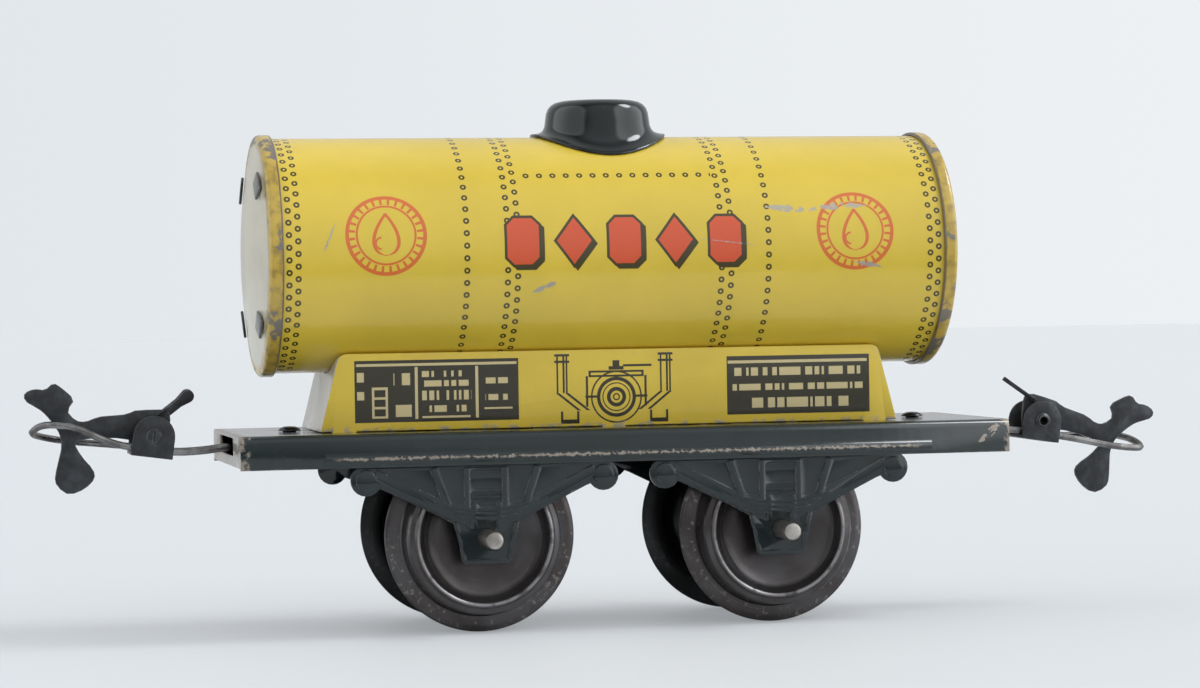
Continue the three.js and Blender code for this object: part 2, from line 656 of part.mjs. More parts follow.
// A rivet through both cheeks: solid with two heads, or a hollow eyelet that is open on one side.
function hookRivet(eyelet) {
  const half = bracketWidth / 2;
  const head = seatGap;
  const profile = [
    [0, -half - head - 0.45],
    [hookRivetHead - 0.4, -half - head - 0.45],
    [hookRivetHead, -half - head - 0.1],
    [hookRivetHead, -half - head],
    [hookShank, -half - head],
    [hookShank, half + head],
    [hookRivetHead, half + head],
    [hookRivetHead, half + head + 0.1],
    [hookRivetHead - 0.4, half + head + 0.45],
    [0, half + head + 0.45],
  ];
  const rivet = turned(profile, "y", [0, 0, 0], 20);
  if (eyelet) return rivet.subtract(rod(hookShank - eyeletWall, -half - 2, half + 2, "y", [0, 0, 0], 16));
  const slot = 0.3;
  return rivet.subtract(block([-slot / 2, half + head + 0.2, -1], [slot / 2, half + 2, 1]));
}

// The swing pivot: a domed rivet through the deck whose lower head carries the wire's eye.
function swingPivot() {
  const under = wireHeight - wireRadius - seatGap;
  const top = deckTop + seatGap;
  const profile = [
    [0, under - 0.6],
    [pivotHead - 0.3, under - 0.6],
    [pivotHead, under - 0.3],
    [pivotHead, under],
    [pivotShank, under],
    [pivotShank, top],
    [pivotHead, top],
    [pivotHead - 0.35, top + 0.45],
    [pivotHead - 1, top + 0.72],
    [0, top + 0.8],
  ];
  return turned(profile, "z", [0, 0, 0], 24);
}

for (const end of ends) {
  const swing = new THREE.Group();
  swing.rotation.z = end.turn;
  swing.position.set(end.turn ? -pivotX : pivotX, 0, wireHeight);
  add(`link_wire_${end.side}`, linkWire(end), steel, swing);
  const head = new THREE.Group();
  head.position.set(end.reach, 0, end.height - wireHeight);
  head.rotation.y = -radians(end.tilt);
  add(`coupling_bracket_${end.side}`, bracket(), blackened, head);
  add(`hook_lever_${end.side}`, lever(end), blackened, head);
  add(`hook_rivet_${end.side}`, hookRivet(end.eyelet), blackened, head);
  swing.add(head);
  wagon.add(swing);
  const pivot = swingPivot().translate([end.turn ? -pivotX : pivotX, 0, 0]);
  add(`swing_pivot_${end.side}`, pivot, black);
}

// The two couplings reach out by different amounts, so the wagon is moved along until its ends are as far from
// the origin as each other.
const reachOfAll = new THREE.Box3().setFromObject(wagon, true);
wagon.position.x = -(reachOfAll.min.x + reachOfAll.max.x) / 2;

export default wagon;
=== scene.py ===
# %% [markdown]
# A tinplate tank wagon for an O gauge toy railway. The wagon's sizes, joints and moving bodies come from a
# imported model, which is loaded first and never changed. Everything made here is either a finer piece that
# stands for one of its nodes, or a finish.

# %% Load the frame
import math

import bpy
from mathutils import Matrix, Vector


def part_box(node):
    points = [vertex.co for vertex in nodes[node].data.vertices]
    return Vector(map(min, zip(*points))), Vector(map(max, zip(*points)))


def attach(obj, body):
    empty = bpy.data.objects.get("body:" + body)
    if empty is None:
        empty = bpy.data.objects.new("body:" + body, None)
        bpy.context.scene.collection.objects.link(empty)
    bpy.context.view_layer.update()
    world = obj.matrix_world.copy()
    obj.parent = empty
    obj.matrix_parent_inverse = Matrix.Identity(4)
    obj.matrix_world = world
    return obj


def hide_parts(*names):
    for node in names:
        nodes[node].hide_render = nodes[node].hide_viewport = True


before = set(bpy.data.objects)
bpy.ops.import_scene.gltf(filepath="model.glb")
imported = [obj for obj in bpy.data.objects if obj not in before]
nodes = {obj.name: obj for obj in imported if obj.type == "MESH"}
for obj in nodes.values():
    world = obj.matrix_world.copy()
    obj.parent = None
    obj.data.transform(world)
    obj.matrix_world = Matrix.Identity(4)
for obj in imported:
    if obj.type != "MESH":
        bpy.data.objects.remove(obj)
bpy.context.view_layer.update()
MM = 0.001
frame_low, frame_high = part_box("chassis_frame")
FRAME_MIDDLE = (frame_low.x + frame_high.x) / 2 / MM

# %% [markdown]
# The camera stands low in front of the wagon and a little to its left, about 0.58 m away. Its long lens keeps
# the tank's ends almost parallel.

# %% Camera
CAMERA_PLACE = Vector((-126.4, -565.4, 54.3)) * MM
CAMERA_YAW, CAMERA_PITCH, CAMERA_ROLL = 0.2174, 0.0113, -0.0158
CAMERA_LENS = 100.2

forward = Vector((
    math.sin(CAMERA_YAW) * math.cos(CAMERA_PITCH),
    math.cos(CAMERA_YAW) * math.cos(CAMERA_PITCH),
    -math.sin(CAMERA_PITCH),
))
level = Vector((math.cos(CAMERA_YAW), -math.sin(CAMERA_YAW), 0))
above = level.cross(forward)
right = level * math.cos(CAMERA_ROLL) + above * math.sin(CAMERA_ROLL)
upward = above * math.cos(CAMERA_ROLL) - level * math.sin(CAMERA_ROLL)
bpy.ops.object.camera_add()
camera = bpy.context.object
camera.name = "camera"
camera.data.lens = CAMERA_LENS
camera.data.sensor_width = 36
camera.data.clip_start = 0.01
turn = Matrix((right, upward, -forward)).transposed()
camera.matrix_world = Matrix.Translation(CAMERA_PLACE) @ turn.to_4x4()
bpy.context.scene.camera = camera
bpy.context.scene.view_settings.view_transform = "Standard"
print("camera", round((CAMERA_PLACE - Vector((0, 0, 0.05))).length, 3), "m from the wagon")

# %% [markdown]
# Shader patterns are sums, so a small helper lets them be written as sums: a Signal is one value in a node
# tree, and +, -, * and / on it add the Math nodes. The printing on the tank and the saddle is built this
# way, because lithographed ink has no thickness and follows the sheet exactly.


# %% Signals: node trees written as sums
class Signal:
    """One value in a node tree."""

    def __init__(self, net, socket):
        self.net = net
        self.socket = socket

    def __add__(self, other):
        return self.net.math("ADD", self, other)

    def __sub__(self, other):
        return self.net.math("SUBTRACT", self, other)

    def __rsub__(self, other):
        return self.net.math("SUBTRACT", other, self)

    def __mul__(self, other):
        return self.net.math("MULTIPLY", self, other)

    def __truediv__(self, other):
        return self.net.math("DIVIDE", self, other)

    def below(self, other):
        return self.net.math("LESS_THAN", self, other)

    def above(self, other):
        return self.net.math("GREATER_THAN", self, other)

    def least(self, other):
        return self.net.math("MINIMUM", self, other)

    def most(self, other):
        return self.net.math("MAXIMUM", self, other)

    def size(self):
        return self.net.math("ABSOLUTE", self)

    def root(self):
        return self.net.math("SQRT", self)

    def cell(self, width):
        """The distance from the middle of a repeating cell of that width."""
        part = self.net.math("FRACT", self / width)
        return (part - 0.5) * width


class Net:
    """Adds nodes to one tree and links them."""

    def __init__(self, tree):
        self.tree = tree

    def plug(self, socket, value):
        if isinstance(value, Signal):
            value = value.socket
        if isinstance(value, bpy.types.NodeSocket):
            self.tree.links.new(value, socket)
        else:
            socket.default_value = value

    def node(self, kind, inputs=None, **settings):
        made = self.tree.nodes.new("ShaderNode" + kind)
        for name, value in settings.items():
            setattr(made, name, value)
        for name, value in (inputs or {}).items():
            self.plug(made.inputs[name], value)
        return made

    def out(self, node, name=0):
        return Signal(self, node.outputs[name])

    def math(self, operation, *values):
        made = self.node("Math", operation=operation)
        for socket, value in zip(made.inputs, values):
            self.plug(socket, value)
        return self.out(made)

    def mix(self, amount, first, second):
        made = self.node("Mix", data_type="RGBA", clamp_factor=True)
        self.plug(made.inputs[0], amount)
        self.plug(made.inputs[6], first)
        self.plug(made.inputs[7], second)
        return self.out(made, 2)

    def smooth(self, value, low, high, to_low=0.0, to_high=1.0):
        made = self.node("MapRange", interpolation_type="SMOOTHSTEP")
        for name, number in zip(
            ("Value", "From Min", "From Max", "To Min", "To Max"),
            (value, low, high, to_low, to_high),
        ):
            self.plug(made.inputs[name], number)
        return self.out(made)

    def place(self):
        """The piece's own coordinates, in millimetres."""
        coordinates = self.node("TexCoord")
        scaled = self.node("VectorMath", operation="SCALE")
        self.plug(scaled.inputs[0], coordinates.outputs["Object"])
        scaled.inputs["Scale"].default_value = 1 / MM
        return scaled.outputs[0]

    def axes(self, vector=None):
        parts = self.node("SeparateXYZ", {0: vector or self.place()})
        return [self.out(parts, name) for name in "XYZ"]

    def wagon_axes(self):
        """x from the frame's middle, y and z, in millimetres."""
        x, y, z = self.axes()
        return x - FRAME_MIDDLE, y, z

    def noise(self, scale, detail=3.0, vector=None, roughness=0.55):
        """Noise whose scale is in features per millimetre."""
        made = self.node(
            "TexNoise",
            {"Vector": vector or self.place(), "Scale": scale, "Detail": detail, "Roughness": roughness},
        )
        return self.out(made, 0)

    def group(self, tree, inputs=None):
        made = self.tree.nodes.new("ShaderNodeGroup")
        made.node_tree = tree
        for name, value in (inputs or {}).items():
            self.plug(made.inputs[name], value)
        return made


def new_group(name, inputs, outputs):
    """A node group with named inputs (name: default) and outputs (name: kind)."""
    kinds = {"value": "NodeSocketFloat", "colour": "NodeSocketColor", "vector": "NodeSocketVector"}
    tree = bpy.data.node_groups.new(name, "ShaderNodeTree")
    for label, default in inputs.items():
        kind = "colour" if isinstance(default, tuple) else "value"
        socket = tree.interface.new_socket(label, in_out="INPUT", socket_type=kinds[kind])
        socket.default_value = default
    for label, kind in outputs.items():
        tree.interface.new_socket(label, in_out="OUTPUT", socket_type=kinds[kind])
    net = Net(tree)
    source = tree.nodes.new("NodeGroupInput")
    sink = tree.nodes.new("NodeGroupOutput")
    given = {label: Signal(net, source.outputs[label]) for label in inputs}
    return net, given, sink


def finish(net, sink, **results):
    for label, value in results.items():
        net.plug(sink.inputs[label.replace("_", " ").capitalize()], value)


# %% [markdown]
# The room gives most of the light. It is painted by direction: a dim side in front of the wagon, a pale wall
# behind it, windows to the left and right, one small bright window high on the right, and a soft glow high in
# front. The dim front keeps black enamel dark, and the windows put the bright bands on it. The table ends a
# little way in front of the wagon, so the upright sheets don't mirror it. A weak soft box hangs overhead. The
# wall that the camera sees directly is plain and pale.


# %% Room, floor and light
WALL_LEFT, WALL_RIGHT = (0.765, 0.8, 0.83, 1), (0.845, 0.875, 0.9, 1)
FLOOR_COLOUR = (0.64, 0.66, 0.68, 1)
# Each bright part of the room: its direction, the cosines where it starts and is full, and its strength.
WINDOWS = (
    ((-0.95, -0.12, 0.3), 0.7, 0.8, 1.2),
    ((0.93, -0.34, 0.3), 0.74, 0.84, 1.8),
    ((0.65, -0.1, 0.75), 0.976, 0.988, 11.0),
)
CEILING = ((0.0, -0.1, 1.0), 0.45, 0.95, 0.12)
FRONT_GLOW = ((0.1, -0.85, 0.55), 0.6, 0.95, 0.76)
TABLE_EDGE = -0.17


def patch(net, ray, aim, soft, full, strength):
    """A bright round patch of the room, seen in one direction."""
    dot = net.node("VectorMath", {0: ray, 1: Vector(aim).normalized()}, operation="DOT_PRODUCT")
    return net.smooth(net.out(dot, "Value"), soft, full) * strength


world = bpy.data.worlds.new("room")
bpy.context.scene.world = world
world.use_nodes = True
room = Net(world.node_tree)
ray = room.node("TexCoord").outputs["Generated"]
across, along_view, _ = room.axes(ray)
front = room.smooth(across, 0.06, 0.42, 0.05, 0.16)
strength = front + (0.62 - front) * room.smooth(along_view, -0.3, 0.3)
for bright in (*WINDOWS, CEILING, FRONT_GLOW):
    strength = strength + patch(room, ray, *bright)
lit = room.node("Background", {"Color": (0.95, 0.975, 1, 1), "Strength": strength})
wall = room.mix(room.smooth(across, 0.02, 0.4), WALL_LEFT, WALL_RIGHT)
seen = room.node("Background", {"Color": wall, "Strength": 1.0})
path = room.node("LightPath")
choose = room.node("MixShader", {0: path.outputs["Is Camera Ray"], 1: lit.outputs[0], 2: seen.outputs[0]})
room.plug(world.node_tree.nodes["World Output"].inputs["Surface"], choose.outputs[0])

bpy.ops.object.light_add(type="AREA", location=(0.1, 0.2, 1.5))
soft_box = bpy.context.object
soft_box.name = "soft_box_overhead"
soft_box.data.size = 1.2
soft_box.data.energy = 0.3

TABLE_SIZE = 6
bpy.ops.mesh.primitive_plane_add(size=TABLE_SIZE, location=(0, TABLE_SIZE / 2 + TABLE_EDGE, 0))
floor = bpy.context.object
floor.name = "floor"
paper = bpy.data.materials.new("floor_paper")
paper.use_nodes = True
net = Net(paper.node_tree)
card = paper.node_tree.nodes["Principled BSDF"]
card.inputs["Base Color"].default_value = FLOOR_COLOUR
card.inputs["Roughness"].default_value = 0.55
glow = net.node("Emission", {"Color": net.mix(net.smooth(net.axes()[0], -700, 900), WALL_LEFT, WALL_RIGHT)})
glow.inputs["Strength"].default_value = 0.97
# The far part of the table is lit by the wall behind it, which the room's painted light leaves out.
depth_mm = net.axes()[1] + (TABLE_SIZE / 2 + TABLE_EDGE) / MM
share = net.out(net.node("LightPath"), "Is Camera Ray") * net.smooth(depth_mm, 0, 500, 0.32, 0.42)
blend = net.node("MixShader", {0: share, 1: card.outputs[0], 2: glow.outputs[0]})
net.plug(paper.node_tree.nodes["Material Output"].inputs["Surface"], blend.outputs[0])
floor.data.materials.append(paper)
print("room with", len(WINDOWS), "windows, a ceiling, a floor and", soft_box.name)

# %% [markdown]
# Four effects that most of the finishes share. Edge wear compares the surface's direction with the
# direction of a rounded copy of it, so it finds folds and rims on any mesh. Specks are small spots where
# the finish has flaked. Tone is a slow, cloudy change of colour. Ripple is the slight unevenness of thin
# sheet and of brushed enamel, which breaks up its reflections.


# %% Shared effects
def edge_wear_group():
    net, given, sink = new_group(
        "edge_wear",
        {"Radius": 0.0005, "Amount": 0.5, "Scale": 0.8},
        {"Mask": "value"},
    )
    bevel = net.node("Bevel", {"Radius": given["Radius"]}, samples=6)
    geometry = net.node("NewGeometry")
    directions = {0: bevel.outputs[0], 1: geometry.outputs["Normal"]}
    dot = net.node("VectorMath", directions, operation="DOT_PRODUCT")
    bend = 1 - net.out(dot, "Value")
    edge = net.smooth(bend, 0.015, 0.12)
    patches = net.noise(given["Scale"], 5.0)
    chips = net.smooth(patches + edge * given["Amount"] * 0.45, 0.72, 0.78)
    outward = net.smooth(net.out(geometry, "Pointiness"), 0.48, 0.52)
    finish(net, sink, mask=chips * net.smooth(bend, 0.004, 0.02) * outward)
    return net.tree


def speck_group():
    net, given, sink = new_group("specks", {"Scale": 0.6, "Amount": 0.5}, {"Mask": "value"})
    spots = net.node("TexVoronoi", {"Vector": net.place(), "Scale": given["Scale"]}, feature="F1")
    wanted = net.noise(given["Scale"] * 0.37, 2.0)
    size = net.smooth(wanted, 0.62, 0.8, 0.0, 0.22) * given["Amount"]
    ragged = net.noise(given["Scale"] * 6, 3.0) * 0.12
    finish(net, sink, mask=(net.out(spots, "Distance") + ragged - 0.06).below(size))
    return net.tree


def tone_group():
    net, given, sink = new_group(
        "cloudy_tone",
        {"Colour": (1.0, 1.0, 1.0, 1.0), "Depth": 0.2, "Scale": 0.08},
        {"Colour": "colour", "Cloud": "value"},
    )
    cloud = net.smooth(net.noise(given["Scale"], 6.0, roughness=0.6), 0.3, 0.7)
    darker = net.node("HueSaturation", {"Color": given["Colour"], "Value": 1 - given["Depth"] * cloud})
    finish(net, sink, colour=darker.outputs[0], cloud=cloud)
    return net.tree


def ripple_group():
    net, given, sink = new_group(
        "sheet_ripple",
        {"Height": 0.00003, "Scale": 0.12, "Grain": 0.000004},
        {"Normal": "vector"},
    )
    waves = net.noise(given["Scale"], 2.0)
    grain = net.noise(4.0, 2.0)
    height = waves * given["Height"] + grain * given["Grain"]
    bump = net.node("Bump", {"Height": height, "Distance": 1.0})
    finish(net, sink, normal=bump.outputs[0])
    return net.tree


EDGE_WEAR = edge_wear_group()
SPECKS = speck_group()
TONE = tone_group()
RIPPLE = ripple_group()
print("shared effects:", [tree.name for tree in bpy.data.node_groups])

# %% [markdown]
# Each finish is one Principled shader. The values that never change over the surface are set on the
# shader's own sockets; only what changes is linked.


# %% A shader to start from
def new_finish(name, roughness=0.4, metallic=0.0, coat=0.0, specular=0.5):
    made = bpy.data.materials.new(name)
    made.use_nodes = True
    net = Net(made.node_tree)
    shader = made.node_tree.nodes["Principled BSDF"]
    shader.inputs["Roughness"].default_value = roughness
    shader.inputs["Metallic"].default_value = metallic
    shader.inputs["Coat Weight"].default_value = coat
    shader.inputs["Coat Roughness"].default_value = 0.08
    shader.inputs["Specular IOR Level"].default_value = specular
    return made, net, shader


def connect(net, shader, **values):
    for label, value in values.items():
        net.plug(shader.inputs[label.replace("_", " ")], value)


BARE_TIN = (0.36, 0.34, 0.32, 1)
YELLOW = (0.7, 0.51, 0.05, 1)
INK_BLACK = (0.007, 0.008, 0.007, 1)
INK_RED = (0.62, 0.085, 0.028, 1)
INK_CREAM = (0.62, 0.52, 0.27, 1)

# %% [markdown]
# The tank's printing is drawn on the rolled-out sheet: x along the tank, and s round it, from the middle of
# each side upwards, both in millimetres. Rivets are small dark rings in rows. In place of the maker's
# lettering there is a row of plain octagons and diamonds, and in place of the badges a ring of ticks with a
# drop in it.

# %% Printing on the tank
tank_low, tank_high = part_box("tank_barrel")
cap_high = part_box("end_cap_left")[1]
TANK_HEIGHT = (tank_low.z + tank_high.z) / 2 / MM
TANK_RADIUS = (tank_high.z - tank_low.z) / 2 / MM
TANK_X = (tank_low.x + tank_high.x) / 2 / MM
RIVET_PITCH = 2 * math.pi * TANK_RADIUS / 60
RIVET_ROWS = {0.0: (-57.3, -27.7, -20.8, 15.9, 24.1, 52.7), 0.5: (-55.8, -19.1, 17.6, 54.2)}
LEVEL_ROW = (13.8, -17.9, 15.2, 2.3)
BADGES = (-41.2, 39.4)
BADGE_S = 3.0
BAND_MIDDLE, BAND_S, BAND_PITCH = -0.8, 1.7, 8.7


def unrolled(net):
    """The tank's x and s in millimetres."""
    x, y, z = net.wagon_axes()
    angle = net.math("ARCTAN2", z - TANK_HEIGHT, y.size())
    return x, angle * TANK_RADIUS


def rivets(x, s):
    """Small dark rings in rows round the tank and along it."""
    rings = None
    for phase, rows in RIVET_ROWS.items():
        across = None
        for row in rows:
            away = (x - row).size()
            across = away if across is None else across.least(away)
        round_s = (s + phase * RIVET_PITCH).cell(RIVET_PITCH)
        distance = (across * across + round_s * round_s).root()
        rings = distance if rings is None else rings.least(distance)
    level, first, last, pitch = LEVEL_ROW
    along = (x - first).cell(pitch)
    lift = s - level
    inside = x.above(first) * x.below(last)
    distance = (along * along + lift * lift).root() + (1 - inside) * 9
    rings = rings.least(distance)
    return rings.below(0.53) * rings.above(0.2)


def ornament_group():
    """How far a point is outside a row of five blocks, octagons and diamonds in turn."""
    net, given, sink = new_group("ornament_band", {"X": 0.0, "S": 0.0}, {"Away": "value"})
    x = given["X"] - BAND_MIDDLE + BAND_PITCH * 2.5
    u = x.cell(BAND_PITCH).size()
    v = (given["S"] - BAND_S).size()
    octagon = (u - 3.0).most(v - 4.2).most((u + v - 5.8) * 0.75)
    diamond = (u * 1.32 + v - 4.4) * 0.62
    odd = net.math("FRACT", net.math("FLOOR", x / BAND_PITCH) * 0.5) * 2
    shape = octagon * (1 - odd) + diamond * odd
    outside = x.below(0) + x.above(BAND_PITCH * 5)
    finish(net, sink, away=shape + outside * 9)
    return net.tree


def badge_group():
    """The ink of a round badge: two rings, ticks between them, and a drop."""
    net, given, sink = new_group("drop_badge", {"U": 0.0, "V": 0.0}, {"Ink": "value"})
    u, v = given["U"], given["V"]
    distance = (u * u + v * v).root()
    rings = (distance - 6.5).size().below(0.32) + (distance - 4.9).size().below(0.18)
    turns = net.math("ARCTAN2", u, v) * (28 / (2 * math.pi))
    ticks = (turns.cell(1.0)).size().below(0.17) * distance.above(5.2) * distance.below(6.4)
    climb = ((v + 3.4) / 6.9).most(0).least(1)
    half = climb.root() * (1 - climb) * 5.4
    outline = (u.size() - half).size().below(0.3) * (v + 3.5).above(0) * v.below(3.7)
    gleam = ((u + 0.8) * (u + 0.8) + (v + 1.4) * (v + 1.4)).root()
    shine = (gleam - 0.95).size().below(0.16) * u.below(-0.8)
    finish(net, sink, ink=rings.most(ticks).most(outline).most(shine).least(1))
    return net.tree


def streak_group():
    """A ragged scratch along a line, from its middle, slope, length and width."""
    net, given, sink = new_group(
        "scratch",
        {"X": 0.0, "S": 0.0, "Middle X": 0.0, "Middle S": 0.0, "Slope": 0.0, "Half": 3.0, "Width": 0.6},
        {"Mask": "value"},
    )
    u = given["X"] - given["Middle X"]
    v = given["S"] - given["Middle S"] - u * given["Slope"]
    taper = 1 - (u / given["Half"]) * (u / given["Half"])
    ragged = net.noise(0.9, 4.0)
    width = given["Width"] * taper * net.smooth(ragged, 0.36, 0.6)
    finish(net, sink, mask=v.size().below(width) * taper.above(0))
    return net.tree


ORNAMENT = ornament_group()
BADGE = badge_group()
STREAK = streak_group()
TANK_SCRATCHES = (
    (28.5, 6.9, -0.05, 5.0, 0.8),
    (37.0, 7.2, 0.04, 5.0, 0.7),
    (41.6, -2.9, -0.2, 2.6, 0.5),
    (-14.2, -6.0, 0.42, 2.5, 0.6),
    (17.0, 1.2, -0.12, 5.5, 0.12),
    (-50.6, 2.6, 2.2, 1.2, 0.7),
)


def tank_finish():
    made, net, shader = new_finish("printed_tank", roughness=0.3, coat=0.35)
    x, s = unrolled(net)
    base = net.group(TONE, {"Colour": YELLOW, "Depth": 0.1, "Scale": 0.05})
    colour = base.outputs["Colour"]
    near = net.group(ORNAMENT, {"X": x, "S": s})
    shadow = net.group(ORNAMENT, {"X": x - 0.55, "S": s + 0.55})
    block = net.out(near, "Away")
    dark = net.out(shadow, "Away").below(0.1).most(block.below(0.18)).most(rivets(x, s))
    colour = net.mix(dark * 0.93, colour, INK_BLACK)
    red = block.below(-0.3)
    for middle in BADGES:
        badge = net.group(BADGE, {"U": x - middle, "V": s - BADGE_S})
        red = red.most(net.out(badge, "Ink") * 0.85)
    colour = net.mix(red, colour, INK_RED)
    bare = net.out(net.group(SPECKS, {"Scale": 0.35, "Amount": 0.7}), "Mask") * 0.6
    for middle, height, slope, half, width in TANK_SCRATCHES:
        places = {"X": x, "S": s, "Middle X": middle, "Middle S": height}
        streak = net.group(STREAK, {**places, "Slope": slope, "Half": half, "Width": width})
        bare = bare.most(net.out(streak, "Mask"))
    colour = net.mix(bare * 0.85, colour, BARE_TIN)
    ripple = net.group(RIPPLE, {"Height": 0.00004, "Scale": 0.05})
    connect(net, shader, Base_Color=colour, Roughness=bare * 0.2 + 0.27, Metallic=bare * 0.5,
            Normal=ripple.outputs["Normal"])
    return made


PRINTED_TANK = tank_finish()
print("tank printing:", len(PRINTED_TANK.node_tree.nodes), "nodes")

# %% [markdown]
# The saddle's printing lies on its two upright sides: a dark table at each end, and a pump between them.
# The tables hold frames, boxes and broken lines of dashes instead of words.

# %% Printing on the saddle
SADDLE_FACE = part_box("tank_saddle")[1].y / MM
TABLES = ((-45.8, -17.9, 35.4, 45.8), (18.4, 43.8, 35.4, 45.4))
PUMP_X, PUMP_Z = -1.0, 38.9


def block_mask(x, z, left, right, bottom, top):
    """1 inside a rectangle."""
    return x.above(left) * x.below(right) * z.above(bottom) * z.below(top)


def dashes(net, x, z, left, right, bottom, top, seed):
    """A line of short uprights, broken at random into groups."""
    step = 0.42
    place = net.math("FLOOR", x / step)
    chance = net.node("TexWhiteNoise", {"W": place + seed * 17.0}, noise_dimensions="1D")
    upright = net.out(chance, "Value").above(0.34)
    return upright * block_mask(x, z, left, right, bottom, top)


def ring(x, z, middle_x, middle_z, radius, half_width):
    u = x - middle_x
    v = z - middle_z
    return ((u * u + v * v).root() - radius).size().below(half_width)


def tables(net, x, z):
    """Dark and cream masks of the two printed tables."""
    dark = None
    for left, right, bottom, top in TABLES:
        panel = block_mask(x, z, left, right, bottom, top)
        dark = panel if dark is None else dark.most(panel)
    l0, l1, lb, lt = TABLES[0]
    r0, r1, _, rt = TABLES[1]
    cream = [
        (l0 + 0.3, l1 - 0.3, lt - 1.0, lt - 0.55),
        (l0 + 10.2, l0 + 10.7, lb + 0.5, lt - 1.2),
        (l0 + 20.5, l0 + 21.0, lb + 0.5, lt - 1.2),
        (l0 + 0.4, l0 + 1.6, lt - 3.6, lt - 2.0),
        (l0 + 0.4, l0 + 1.6, lt - 6.6, lt - 5.2),
        (l0 + 2.9, l0 + 5.6, lb + 0.7, lb + 5.9),
        (l0 + 6.9, l0 + 9.6, lb + 0.9, lb + 2.9),
        (l0 + 11.4, l0 + 19.6, lb + 0.6, lb + 0.95),
        (l0 + 22.0, l0 + 26.8, lb + 1.9, lb + 2.2),
        (r0 + 0.2, r1 - 0.4, rt - 1.25, rt - 0.75),
    ]
    light = None
    for bounds in cream:
        one = block_mask(x, z, *bounds)
        light = one if light is None else light.most(one)
    for k in range(3):
        hole = block_mask(x, z, l0 + 3.3, l0 + 5.2, lb + 1.05 + 1.6 * k, lb + 2.25 + 1.6 * k)
        light = light * (1 - hole)
    lines = [
        (l0 + 11.4, l0 + 18.2, lt - 2.9, lt - 1.9, 1),
        (l0 + 11.4, l0 + 19.4, lt - 4.5, lt - 3.5, 2),
        (l0 + 11.4, l0 + 19.8, lt - 6.8, lt - 5.2, 3),
        (l0 + 12.2, l0 + 19.0, lb + 1.6, lb + 2.7, 4),
        (l0 + 22.0, l0 + 26.6, lt - 4.2, lt - 3.2, 5),
        (l0 + 22.2, l0 + 26.0, lt - 7.0, lt - 6.0, 6),
        (l0 + 6.6, l0 + 9.4, lt - 4.2, lt - 2.2, 7),
        (r0 + 1.2, r1 - 1.6, rt - 3.4, rt - 2.0, 8),
        (r0 + 1.0, r1 - 1.2, rt - 5.9, rt - 4.8, 9),
        (r0 + 4.4, r1 - 3.8, rt - 8.9, rt - 7.2, 10),
    ]
    for left, right, bottom, top, seed in lines:
        light = light.most(dashes(net, x, z, left, right, bottom, top, seed))
    return dark, light


PIPES = (-9.4, 8.6)  # from the pump's middle


def pump(net, x, z):
    """The line drawing of a plain pump with a pipe on each side."""
    casing = block_mask(x, z, PUMP_X - 4.8, PUMP_X + 4.8, PUMP_Z + 3.4, PUMP_Z + 4.5)
    inner = block_mask(x, z, PUMP_X - 4.4, PUMP_X + 4.4, PUMP_Z + 3.75, PUMP_Z + 4.15)
    ink = casing * (1 - inner)
    for radius, half_width in ((4.3, 0.14), (3.1, 0.3), (2.35, 0.1), (1.35, 0.32), (0.5, 0.12)):
        ink = ink.most(ring(x, z, PUMP_X, PUMP_Z, radius, half_width))
    bars = [
        (PUMP_X - 5.3, PUMP_X - 4.9, PUMP_Z - 1.6, PUMP_Z + 3.6),
        (PUMP_X + 4.9, PUMP_X + 5.3, PUMP_Z - 1.6, PUMP_Z + 3.6),
        (PUMP_X - 1.3, PUMP_X + 1.3, PUMP_Z + 4.6, PUMP_Z + 5.2),
        (PUMP_X - 0.6, PUMP_X + 0.6, PUMP_Z + 5.2, PUMP_Z + 6.2),
        (PUMP_X + 1.2, PUMP_X + 6.2, PUMP_Z + 5.1, PUMP_Z + 5.5),
        (PUMP_X - 5.4, PUMP_X - 3.0, PUMP_Z - 0.1, PUMP_Z + 0.3),
        (PUMP_X + 3.0, PUMP_X + 5.4, PUMP_Z - 0.1, PUMP_Z + 0.3),
    ]
    for pipe in PIPES:
        middle = PUMP_X + pipe
        for edge in (-0.95, 0.65):
            bars.append((middle + edge, middle + edge + 0.3, PUMP_Z + 0.8, 46.2))
        bars.append((middle + 0.1, middle + 0.45, PUMP_Z + 0.8, 46.2))
        bars.append((middle - 1.3, middle + 1.3, 44.8, 45.2))
        bars.append((middle - 1.3, middle + 1.3, 45.9, 46.3))
        foot = PUMP_X + pipe * 0.86
        bars.append((foot - 1.6, foot + 1.6, 34.5, 35.2))
        bars.append((foot - 1.6, foot - 1.2, 35.2, 36.6))
        bars.append((foot + 1.2, foot + 1.6, 35.2, 36.6))
    for bounds in bars:
        ink = ink.most(block_mask(x, z, *bounds))
    # Below its bend each pipe runs in and down to the pump's foot.
    bend = PUMP_Z + 0.8
    reach = z.above(bend - 3.0) * z.below(bend)
    for pipe in PIPES:
        away = (x - PUMP_X) * (1 if pipe > 0 else -1) - abs(pipe)
        for edge in (-0.8, 0.8):
            line = (away - edge - (z - bend) * 1.25).size().below(0.3)
            ink = ink.most(line * reach)
    return ink


